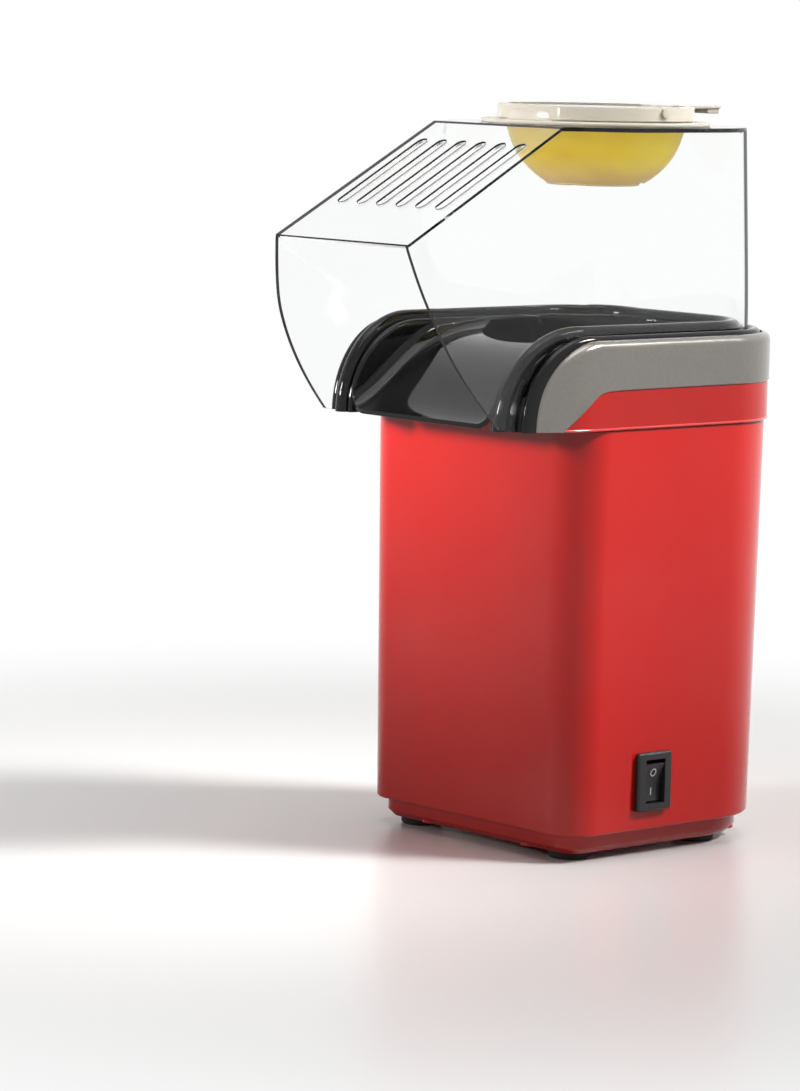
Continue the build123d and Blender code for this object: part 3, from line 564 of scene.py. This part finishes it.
def buildDeck(d):
    # cross-section at each step: skirt, arc of the outer ridge, valley, arc of the inner ridge, and a quarter
    # circle over the edge of the chute and mouth
    outer, out, up = ridgeLine(d, *d["outer"])
    inner, outIn, upIn = ridgeLine(d, *d["inner"])
    front = d["steps"][0]
    edge = inner.copy()
    edge[:, 0] = d["chute"]
    edge[:front, 1] = climbY(d["sweepY"], d["spoutReach"], front)
    edge[:, 2] = climb(len(edge), d["spoutReach"], d["sweepZ"], d["platform"], front)[0]
    cut = -math.sqrt(d["mouth"] ** 2 - d["chute"] ** 2)  # where the chute wall meets the round mouth
    first = int(np.argmax(inner[:, 1] > cut))
    walk = np.linspace(math.asin(cut / d["mouth"]), np.pi / 2, len(inner) - first)
    edge[first:, 0] = d["mouth"] * np.cos(walk)
    edge[first:, 1] = d["mouth"] * np.sin(walk)
    side = inner - edge
    side -= upIn * (side * upIn).sum(axis=1)[:, None]
    side /= np.linalg.norm(side, axis=1)[:, None]

    skirt = outer + out * d["skirt"][0]
    skirtTop = outer + out * d["skirtTop"][0] - up * d["skirtTop"][1]
    ring = [skirt - up * d["depth"], skirt - up * d["skirt"][1], skirtTop]
    for step in np.radians(np.linspace(*d["outerArc"], 13)):
        ring.append(outer + d["outerR"] * (out * np.cos(step) + up * np.sin(step)))
    foot = outer - out * d["foot"][0] + up * d["foot"][1]
    toe = inner + outIn * d["toe"][0] - upIn * d["toe"][1]
    ring += [foot, foot + (toe - foot) * 0.5, toe]
    for step in np.radians(np.linspace(*d["innerArc"], 19)):
        ring.append(inner + d["innerR"] * (outIn * np.cos(step) + upIn * np.sin(step)))
    for step in np.linspace(0, np.pi / 2, 6):
        ring.append(edge + side * d["mouthR"] * (1 - np.sin(step)) - upIn * d["mouthR"] * (1 - np.cos(step)))
    ring.append(edge - upIn * d["depth"])
    points = bothSides(np.stack(ring, axis=1))
    points[..., 2] = np.maximum(points[..., 2], d["sweepZ"])
    addPiece("deckRim", [tube(points)], "machine", "chute_deck", [piano], 50.0)


def buildChute(d):
    # chute floor: a quartic slope through a few points, coved up to the side walls by a quarter circle,
    # from the spout's lip back to the round mouth
    x = d["chute"] * np.sin(np.linspace(-np.pi / 2, np.pi / 2, 81))
    beyond = np.clip(abs(x) - (d["chute"] - d["cove"]), 0, d["cove"]) / d["cove"]
    hollow = 1 - np.sqrt(1 - beyond ** 2)
    slope = np.polyfit(d["slideY"], d["slideZ"], 4)

    def floor(y):
        middle = np.polyval(slope, y)
        return middle + np.clip(d["platform"] - middle, 0, d["cove"]) * hollow

    lip = np.full_like(x, d["lipGuess"])
    for attempt in range(40):  # closes in on where the floor meets the spout's ellipse
        drop = np.clip(floor(lip) - d["sweepZ"], 0, d["spoutReach"] - 0.01)
        lip = 0.5 * lip + 0.5 * (d["sweepY"] - np.sqrt(d["spoutReach"] ** 2 - drop ** 2))
    rear = -np.sqrt(d["mouth"] ** 2 - x ** 2)
    y = lip + (rear - lip) * np.linspace(0, 1, 40)[:, None]
    grid = np.stack([np.broadcast_to(x, y.shape), y, floor(y)], axis=-1)
    piece = addPiece("chuteFloor", [sheet(grid)], "machine", None, [piano])
    thicken(piece, d["floorWall"])
    soften(piece, d["floorEdge"], 2)


buildDeck(deckSet)
buildChute(deckSet)
print("deck done")

# clear hood, worked out as panels that share their borders
hoodSet = {"wall": 1.6, "base": 195.55, "top": 272.7, "half": 53.9, "back": 49.8, "corner": 31.0, "draft": 2.0,
           "creaseY": -50.4, "creaseHalf": 36.0, "knee": 26.0, "lipY": -125.97, "lipZ": 230.7, "lipHalf": 37.3,
           "lipDrop": 1.5, "waist": 204.0, "waistSoft": 0.16, "lipWaist": 43.5, "lipFoot": 47.5, "footZ": 150.0,
           "narrowing": 0.06, "reach": 31.0, "hole": 36.0, "slots": 6, "pitch": 11.0, "slotWide": 4.9,
           "slotLong": 48.0, "slotMid": 37.2, "edge": 0.3,
           "frontY": (-90.5, -97.5, -108.7, -118.0, -124.0, -125.9),
           "frontZ": (163.5, 171.0, 185.5, 202.5, 221.0, 229.2)}


def waistBend(h, share):
    # 0 below the waist and rising to 1 at the roof, as a straight line whose corner is rounded off
    return (share + np.sqrt(share ** 2 + h["waistSoft"] ** 2)) / (1 + math.sqrt(1 + h["waistSoft"] ** 2))


def hoodSideX(h, y, z):
    # half width of the front side panel: a straight line up from the foot, bent inwards above the waist
    far = (h["creaseY"] - y) / (h["creaseY"] - h["lipY"])
    roof = h["top"] + (h["lipZ"] - h["top"]) * far
    half = h["creaseHalf"] + (h["lipHalf"] - h["creaseHalf"]) * far
    narrow = (1 + h["narrowing"]) * far ** 2 / (far + h["narrowing"])  # starts level with the rear wall
    waist = h["half"] + (h["lipWaist"] - h["half"]) * narrow
    lean = (h["half"] + (h["lipFoot"] - h["half"]) * narrow - waist) / (h["waist"] - h["footZ"])
    pull = waist - lean * (roof - h["waist"]) - half
    return waist - lean * (z - h["waist"]) - pull * waistBend(h, (z - h["waist"]) / (roof - h["waist"]))


def between(first, second, rows):
    # straight rows of points from one line of points to another
    return first[None] + (second - first)[None] * rows[:, None, None]


def atHeight(outline, z):
    return np.column_stack([outline, np.full(len(outline), z)])


def hoodLoop(h, half, back, nose):
    # half outline of the rear wall: an S from the nose out to the flank, the flank, a quarter circle and
    # half of the back
    kneeY = h["creaseY"] + h["knee"]
    cut = np.linspace(0, 1, 24)[:-1]
    flank = np.linspace(kneeY, back - h["corner"], 16)[:-1]
    turn = np.linspace(0, np.pi / 2, 30)
    restX = np.linspace(half - h["corner"], 0, 8)[1:]
    x = np.concatenate([nose + (half - nose) * cut ** 2 * (3 - 2 * cut), np.full_like(flank, half),
                        half - h["corner"] * (1 - np.cos(turn)), restX])
    y = np.concatenate([h["creaseY"] + h["knee"] * cut, flank, back - h["corner"] * (1 - np.sin(turn)),
                        np.full_like(restX, back)])
    return np.column_stack([x, y])


def buildHood(h):
    # each panel is straight rows of points between two border lines, and neighbours share a border
    slope = math.atan2(h["top"] - h["lipZ"], h["creaseY"] - h["lipY"])
    length = math.hypot(h["top"] - h["lipZ"], h["creaseY"] - h["lipY"])
    frontCurve = np.polyfit(h["frontZ"], h["frontY"], 4)
    high, low = np.linspace(0, 1, 15), np.linspace(0, 1, 8)
    waistCount, riseCount, sweepCount = 40, 16, 20
    sideCount = waistCount + riseCount

    # front side panel, upper part: roof edge down to the waist line and the front edge
    run = np.linspace(0, length, sideCount)
    roofEdge = np.column_stack([h["creaseY"] - run * math.cos(slope), h["top"] - run * math.sin(slope)])
    waistY = np.linspace(h["creaseY"], np.polyval(frontCurve, h["waist"]), waistCount)
    waistLine = np.column_stack([waistY, np.full(waistCount, h["waist"])])
    riseZ = np.linspace(h["waist"], h["lipZ"] - h["lipDrop"], riseCount + 1)[1:]
    rise = np.column_stack([np.polyval(frontCurve, riseZ), riseZ])
    upper = between(roofEdge, np.vstack([waistLine, rise]), high)

    # lower part: waist line down to the sweep over the deck, the tip and the front edge
    sweepTurn = np.linspace(np.pi / 2, np.pi, sweepCount)
    sweep = np.column_stack([deckSet["sweepY"] + h["reach"] * np.cos(sweepTurn),
                             deckSet["sweepZ"] + (h["base"] - deckSet["sweepZ"]) * np.sin(sweepTurn)])
    tipZ = np.linspace(h["frontZ"][0], h["waist"], waistCount - sweepCount - 1)
    tip = np.column_stack([np.polyval(frontCurve, tipZ), tipZ])
    lower = between(waistLine, np.vstack([[h["creaseY"], h["base"]], sweep, tip]), low)

    patches = []
    for flat in (upper, lower):
        panel = np.dstack([hoodSideX(h, flat[..., 0], flat[..., 1]), flat])
        patches += [sheet(panel), sheet(panel * (-1, 1, 1))]

    # rear wall: waist outline up to the smaller roof outline, which narrows to the sloped roof
    roofLoop = hoodLoop(h, h["half"] - h["draft"], h["back"] - h["draft"], h["creaseHalf"])
    waistLoop = hoodLoop(h, h["half"], h["back"], h["half"])
    roofRing, waistRing = atHeight(roofLoop, h["top"]), atHeight(waistLoop, h["waist"])
    baseRing = atHeight(waistLoop, h["base"])
    for upperRing, lowerRing, rows in ((roofRing, waistRing, high), (waistRing, baseRing, low)):
        wall = between(upperRing, lowerRing, rows)
        bend = waistBend(h, (wall[..., 2:] - h["waist"]) / (h["top"] - h["waist"]))
        wall[..., :2] = waistLoop + (roofLoop - waistLoop) * bend
        patches.append(sheet(np.stack([bothSides(row) for row in wall])))

    # top plate: from the roof outline in to the round hole for the cup
    ends = 9  # points across the end of a slot's cell
    reach = h["slots"] / 2 * h["pitch"]
    crease = np.linspace(-reach, reach, h["slots"] * (ends + 1) + 1)
    creaseRing = np.column_stack([crease, np.full_like(crease, h["creaseY"]), np.full_like(crease, h["top"])])
    border = np.vstack([bothSides(roofRing), creaseRing])
    bearing = np.arctan2(border[:, 1], border[:, 0])
    hole = atHeight(h["hole"] * np.column_stack([np.cos(bearing), np.sin(bearing)]), h["top"])
    patches.append(sheet(between(border, hole, np.linspace(0, 1, 6)), True))

    # sloped roof: one cell per slot, each a ring from the slot's racetrack out to the cell's border
    def onSlope(x, t):
        return np.stack([x, h["creaseY"] - t * math.cos(slope), h["top"] - t * math.sin(slope)], axis=-1)

    r = h["slotWide"] / 2
    straightA, straightB = h["slotMid"] - h["slotLong"] / 2 + r, h["slotMid"] + h["slotLong"] / 2 - r
    lane = straightA + (straightB - straightA) * run / length
    arc = np.linspace(0, np.pi, ends + 2)[1:-1]
    across = np.linspace(-h["pitch"] / 2, h["pitch"] / 2, ends + 2)[1:-1]
    one = np.ones(sideCount)
    cellX = np.concatenate([-h["pitch"] / 2 * one, across, h["pitch"] / 2 * one, -across])
    cellT = np.concatenate([run, np.full(ends, length), run[::-1], np.zeros(ends)])
    slotX = np.concatenate([-r * one, -r * np.cos(arc), r * one, r * np.cos(arc)])
    slotT = np.concatenate([lane, straightB + r * np.sin(arc), lane[::-1], straightA - r * np.sin(arc)])
    for index in range(h["slots"]):
        middle = (index - (h["slots"] - 1) / 2) * h["pitch"]
        cell = between(onSlope(slotX + middle, slotT), onSlope(cellX + middle, cellT), np.linspace(0, 1, 4))
        patches.append(sheet(cell, True))
    outerX = h["creaseHalf"] + (h["lipHalf"] - h["creaseHalf"]) * run / length
    strip = np.stack([onSlope(reach * one, run), onSlope(outerX, run)])
    patches += [sheet(strip), sheet(strip * (-1, 1, 1))]
    # rim and eased edges get the near-black painted edge shade; the inner face gets the clear finish whose
    # painted dark edge lies under the top plate
    piece = addPiece("clearHood", patches, "hood", "hood", [clear, paintedEdgeShade, clearInsidePaintedDark], 9.0)
    thicken(piece, h["wall"], 1, 2)
    soften(piece, h["edge"], 2, 24.0, 1)


buildHood(hoodSet)
print("hood done")


def spin(profile, steps=144):
    # a closed profile of (radius, height) pairs turned about the chamber's axis
    turn = np.linspace(0, 2 * np.pi, steps, endpoint=False)
    radius, height = profile[:, :1], profile[:, 1:]
    return sheet(np.stack([radius * np.cos(turn), radius * np.sin(turn),
                           np.broadcast_to(height, (len(profile), steps))], axis=-1), True)


# measuring cup: tinted bowl, with a milky flange and neck
cupSet = {"bowlZ": (249.5, 255.5, 265.0, 272.8), "bowlR": (17.5, 25.5, 31.8, 34.3), "wall": 1.6, "hub": 8.0,
          "heelWide": 1.2, "heelTall": 0.8, "inHeel": 0.6, "flangeR": 44.0, "flangeZ": 272.8, "flange": 1.4,
          "neckTop": 278.2, "neckR": 35.9, "neckLap": 0.2, "under": 0.5, "round": 0.4, "cove": (1.0, 0.3)}


def buildCup(c):
    # half section of the bowl: bottom, rounded heel, outside up, inside down, floor;
    # the radius is a cubic in height
    curve = np.polyfit(c["bowlZ"], c["bowlR"], 3)
    low, high = c["bowlZ"][0], c["bowlZ"][-1]
    up = np.linspace(low + c["heelTall"], high, 40)
    heel = np.linspace(-np.pi / 2, 0, 8)[:-1]
    heelR = np.polyval(curve, low + c["heelTall"]) - c["heelWide"]
    outside = np.column_stack([np.polyval(curve, up), up])
    bottom = np.column_stack([np.concatenate([[0, c["hub"]], heelR + c["heelWide"] * np.cos(heel)]),
                              np.concatenate([[low, low], low + c["heelTall"] * (1 + np.sin(heel))])])
    inside = outside[::-1] - (c["wall"], 0)
    inside = inside[inside[:, 1] > low + c["wall"] + c["inHeel"]]
    floor = np.array([[inside[-1, 0] - c["heelWide"], low + c["wall"]], [0, low + c["wall"]]])
    bowl = np.vstack([bottom, outside, inside, floor])
    addPiece("cupBowl", [spin(bowl)], "cup", "measuring_cup", [amber], 35.0)

    # section of the flange and neck, with rounded corners and a cove between them
    z0, z1, top = c["flangeZ"], c["flangeZ"] + c["flange"], c["neckTop"]
    neckIn, neckR, rimR, r = c["bowlR"][-1] - c["neckLap"], c["neckR"], c["flangeR"], c["round"]
    wide, tight = c["cove"]
    ring = np.array([[neckIn, z0], [rimR - c["under"], z0], [rimR, z0 + r], [rimR, z1 - r], [rimR - r, z1],
                     [neckR + wide, z1], [neckR + tight, z1 + tight], [neckR, z1 + wide], [neckR, top - r],
                     [neckR - r, top], [neckIn + r, top], [neckIn, top - r], [neckIn, z0]])
    addPiece("cupFlange", [spin(ring)], "cup", None, [milk], 25.0)


buildCup(cupSet)

# lid: a clear plate in a milky ring with a notch cut in its front, a thumb tab and two round studs
lidSet = {"r": 37.7, "flat": 34.2, "low": 274.6, "top": 280.0, "plate": 1.4, "skirt": 1.3, "gap": 0.02,
          "hollow": (3.6, 4.4), "hollowDeep": 0.5, "foot": 0.2, "shoulder": (0.8, 0.23), "tabEnd": 58.2,
          "tabRoot": 33.0, "tabHalf": 10.0, "tabThick": 1.2, "tabCorner": 2.0, "lipIn": 0.5, "lipLong": 7.0,
          "lipLow": 277.0, "lipCorner": 1.5, "studR": 2.0, "studZ": 277.9, "studIn": 0.9, "studOut": 1.15}


def roundedBar(half, near, far, corner, levels):
    # outlines of a rectangle with two rounded corners, stacked as (inset, height) levels
    bend = np.linspace(0, np.pi / 2, 10)
    right = np.column_stack([np.concatenate([[half, half], half - corner + corner * np.cos(bend)]),
                             np.concatenate([[near, far - corner - 1], far - corner + corner * np.sin(bend)])])
    outline = np.vstack([right, right[::-1] * (-1, 1)])
    middle, reach = outline.mean(axis=0), np.array([half, (far - near) / 2])
    return tube(np.stack([atHeight(middle + (outline - middle) * (1 - inset / reach), z)
                          for inset, z in levels]))


def buildLid(c):
    # radius round the lid is the smaller of a circle and a straight cut across the front
    turn = np.linspace(0, 2 * np.pi, 192, endpoint=False)
    ahead = np.maximum(-np.sin(turn), 1e-3)
    plan = np.minimum(c["r"], c["flat"] / ahead)
    top, low, under, skirtIn = c["top"], c["low"], c["top"] - c["plate"], c["skirt"]

    def ring(section):
        # a section of (inset, height) pairs carried round the lid's outline, insets over 5 shrink to the middle
        inset, height = section[:, :1], section[:, 1:]
        radius = np.where(inset > 5, plan * (1 - inset / c["r"]), np.maximum(plan - inset, 0))
        return sheet(np.stack([radius * np.cos(turn), radius * np.sin(turn),
                               np.broadcast_to(height, radius.shape)], axis=-1), True)

    edge, (hollowA, hollowB), floor = skirtIn + c["gap"], c["hollow"], top - c["hollowDeep"]
    plate = np.array([[c["r"], under], [edge, under], [edge, top], [hollowA, top], [hollowB, floor],
                      [c["r"], floor]])
    foot, (wide, tight) = c["foot"], c["shoulder"]
    skirt = np.array([[skirtIn, top - c["gap"]], [skirtIn, low + foot], [skirtIn - foot, low], [foot, low],
                      [0.0, low + foot], [0.0, top - wide], [tight, top - tight], [wide, top],
                      [skirtIn, top - c["gap"]]])
    addPiece("lidPlate", [ring(plate)], "lid", "cup_lid", [clear], 25.0)
    addPiece("lidSkirt", [ring(skirt)], "lid", None, [milk], 40.0)

    thick, lipEnd, lipLow = top - c["tabThick"], c["tabEnd"] - c["lipIn"], c["lipLow"]
    tab = roundedBar(c["tabHalf"], c["tabRoot"], c["tabEnd"], c["tabCorner"],
                     ((0.4, thick), (0.1, thick + 0.15), (0, thick + 0.5), (0.1, top - 0.25),
                      (0.4, top - c["gap"])))
    lip = roundedBar(c["tabHalf"] - c["lipIn"], lipEnd - c["lipLong"], lipEnd, c["lipCorner"],
                     ((0.3, lipLow), (0, lipLow + 0.3), (0, thick - c["gap"])))
    addPiece("lidTab", [tab], "lid", None, [milk], 35.0)
    addPiece("tabLip", [lip], "lid", None, [milk], 35.0)

    # each stud is a short round pin with a domed end, from inside the ring outwards
    r, end = c["studR"], c["studOut"]
    radius, out = np.array([[r, -c["studIn"]], [r, end - 0.5], [r - 0.15, end - 0.15], [r - 0.6, end - 0.02],
                            [0.0, end]]).T[..., None]
    pinTurn = np.linspace(0, 2 * np.pi, 40, endpoint=False)
    stud = np.stack([np.broadcast_to(c["r"] + out, (len(out), 40)), radius * np.cos(pinTurn),
                     c["studZ"] + radius * np.sin(pinTurn)], axis=-1)
    addPiece("lidStuds", [tube(stud), tube(stud * (-1, 1, 1))], "lid", None, [milk], 30.0)


buildLid(lidSet)
print("cup and lid done")

# switch: frame and rocker from their solids with eased edges, and the two printed marks
switchSet = {"frameEdge": 0.3, "rockerEdge": 0.35, "pivot": (57.3, -18.2, 29.0), "tilt": 9.0, "face": 2.4,
             "hollow": 1.2, "halfLong": 7.4, "reach": 3.7, "ringR": 1.45, "ringWide": 0.42, "ringTall": 1.15,
             "barLong": 2.7, "barWide": 0.5, "lift": 0.05, "ink": 0.08}


def buildSwitch(s):
    # the O is a ring, taller than wide, and the I a bar; both lie on the rocker's face, hollow by a square law
    fromSolid("switch_frame", "switchFrame", "machine", matt, s["frameEdge"])
    fromSolid("switch_rocker", "switchRocker", "rocker", matt, s["rockerEdge"])
    lean = math.radians(s["tilt"])
    along = np.array([math.sin(lean), 0, math.cos(lean)])
    outward = np.array([math.cos(lean), 0, -math.sin(lean)])

    def onFace(u, across):
        # a point on the hollow rocker face, a little above it
        depth = s["face"] + s["hollow"] * (u / s["halfLong"]) ** 2 + s["lift"]
        flat = np.stack([np.zeros_like(u), across, np.zeros_like(u)], axis=-1)
        return np.array(s["pivot"]) + u[..., None] * along + depth[..., None] * outward + flat

    turn = np.linspace(0, 2 * np.pi, 49)
    radius = np.linspace(s["ringR"] - s["ringWide"], s["ringR"], 3)[:, None]
    ring = onFace(s["reach"] + radius * s["ringTall"] * np.sin(turn), radius * np.cos(turn))
    u, across = np.meshgrid(np.linspace(-s["barLong"] / 2, s["barLong"] / 2, 9),
                            np.linspace(-s["barWide"] / 2, s["barWide"] / 2, 3))
    bar = onFace(u - s["reach"], across)
    marks = addPiece("switchMarks", [sheet(ring), sheet(bar)], "rocker", None, [whiteInk])
    thicken(marks, s["ink"])


buildSwitch(switchSet)

# pieces whose solids have the right shape: merged, eased where they show an edge, and given their finish
fromSolid("base_cover", "baseCover", "machine", red, 0.3)
fromSolid("feet", "rubberFeet", "machine", rubber, 0.3)
fromSolid("cord_gland", "cordGland", "machine", matt)
fromSolid("popping_chamber", "poppingChamber", "machine", spun)
carried = {"base_screws": steel, "chamber_screws": steel, "bracket_screws": steel, "switch_terminals": brass,
           "chamber_gasket": rubber, "heater_shroud": spun, "fan_duct": matt, "mica_frame": mica,
           "heater_coil": steel, "thermal_fuse": steel, "thermostat": mica, "motor_can": steel,
           "motor_bracket": steel, "motor_shaft": steel, "fan_impeller": matt, "rectifier_board": board}
for node, finish in carried.items():
    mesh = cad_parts[node].data
    mesh.materials.clear()
    mesh.materials.append(finish.material)
print("switch done, carried solids:", len(carried))

# pale studio: floor, world and three lamps
studioSet = {"floor": 6.0, "fade": (0.14, 0.55), "world": 0.2}
lampSet = {"leftBox": {"place": (-0.42, -0.72, 0.40), "aim": (-0.18, -0.03, 0.222), "size": (0.4, 0.18),
                       "power": 0.55, "spread": 22.0},
           "rightBox": {"place": (0.70, 0.58, 0.98), "aim": (0.06, 0.02, 0.20), "size": (0.5, 0.18),
                        "power": 0.70, "spread": 22.0},
           "topBox": {"place": (0.2, -0.1, 1.9), "aim": (0, 0, 0.2), "size": (1.2, 1.2),
                      "power": 12.0, "spread": 180.0}}


def addLamp(name, settings):
    lamp = bpy.data.lights.new(name, "AREA")
    lamp.shape = "RECTANGLE"
    lamp.size, lamp.size_y = settings["size"]
    lamp.energy = settings["power"]
    lamp.spread = math.radians(settings["spread"])
    holder = bpy.data.objects.new(name, lamp)
    bpy.context.scene.collection.objects.link(holder)
    holder.location = settings["place"]
    ahead = Vector(settings["aim"]) - Vector(settings["place"])
    holder.rotation_euler = ahead.to_track_quat("-Z", "Y").to_euler()


def looksAt(wire):
    # 1 for a ray from the camera, a mirror or glass, 0 for the light that falls on the object
    path = wire.make("ShaderNodeLightPath").socket.node
    kinds = ("Is Camera Ray", "Is Glossy Ray", "Is Transmission Ray")
    return wire.math("MINIMUM", sum(Wire(wire.tree, path.outputs[kind]) for kind in kinds), 1.0)


def buildFloor(s):
    # a square of nine points; it fades to white away from the object, and throws little light back on it
    side = np.linspace(-s["floor"], s["floor"], 3)
    grid = np.stack(np.meshgrid(side, side, [0.0]), axis=-1).reshape(-1, 3)
    mesh = bpy.data.meshes.new("studioFloor")
    mesh.from_pydata(grid.tolist(), [], gridFaces(3, 3).tolist())
    floor = bpy.data.objects.new("studioFloor", mesh)
    bpy.context.scene.collection.objects.link(floor)
    pale = Finish("paleFloor", {"Specular IOR Level": 0.4})
    mesh.materials.append(pale.material)
    drift = pale.noise(3, 3)
    tone = pale.mix(drift, shade(0.83, 0.82, 0.80), shade(0.87, 0.865, 0.855))
    bounce = pale.wire.make("ShaderNodeLightPath", out="Is Diffuse Ray")
    pale.set("Base Color", pale.mix(bounce, tone, shade(0.16, 0.157, 0.155)))
    pale.set("Roughness", drift * 0.04 + 0.28)
    farX, farY = pale.split()[:2]
    away = pale.ease(pale.wire.math("SQRT", farX * farX + farY * farY), *s["fade"])
    white = pale.wire.make("ShaderNodeEmission", None, {"Color": shade(1, 1, 1), "Strength": 1.0})
    pale.blend(away * looksAt(pale.wire), white)


def buildWorld(s):
    world = bpy.data.worlds.new("studioWorld")
    bpy.context.scene.world = world
    world.use_nodes = True
    world.node_tree.nodes.clear()
    wire = Wire(world.node_tree)
    soft = wire.make("ShaderNodeBackground", None, {"Color": shade(0.92, 0.91, 0.89), "Strength": s["world"]})
    white = wire.make("ShaderNodeBackground", None, {"Color": shade(1, 1, 1), "Strength": 1.0})
    both = wire.make("ShaderNodeMixShader", None, {0: looksAt(wire), 1: soft, 2: white})
    wire.make("ShaderNodeOutputWorld", None, {"Surface": both})


buildFloor(studioSet)
buildWorld(studioSet)
for name, settings in lampSet.items():
    addLamp(name, settings)
print("studio done, lamps:", len(lampSet))

# camera from the fitted view
cameraSet = {"place": (1.2400, -1.13885, 0.3147), "ahead": (-0.74904, 0.6516, -0.11981),
             "up": (-0.10526, 0.0615, 0.99254), "lens": 146.8, "sensor": 36.0, "near": 0.05}


def addCamera(c):
    data = bpy.data.cameras.new("view")
    data.lens = c["lens"]
    data.sensor_width = c["sensor"]
    data.clip_start = c["near"]
    holder = bpy.data.objects.new("view", data)
    bpy.context.scene.collection.objects.link(holder)
    back = -Vector(c["ahead"]).normalized()
    right = Vector(c["up"]).cross(back).normalized()
    up = back.cross(right)
    holder.matrix_world = Matrix.Translation(c["place"]) @ Matrix((right, up, back)).transposed().to_4x4()
    bpy.context.scene.camera = holder


addCamera(cameraSet)
bpy.context.scene.view_settings.view_transform = "Standard"
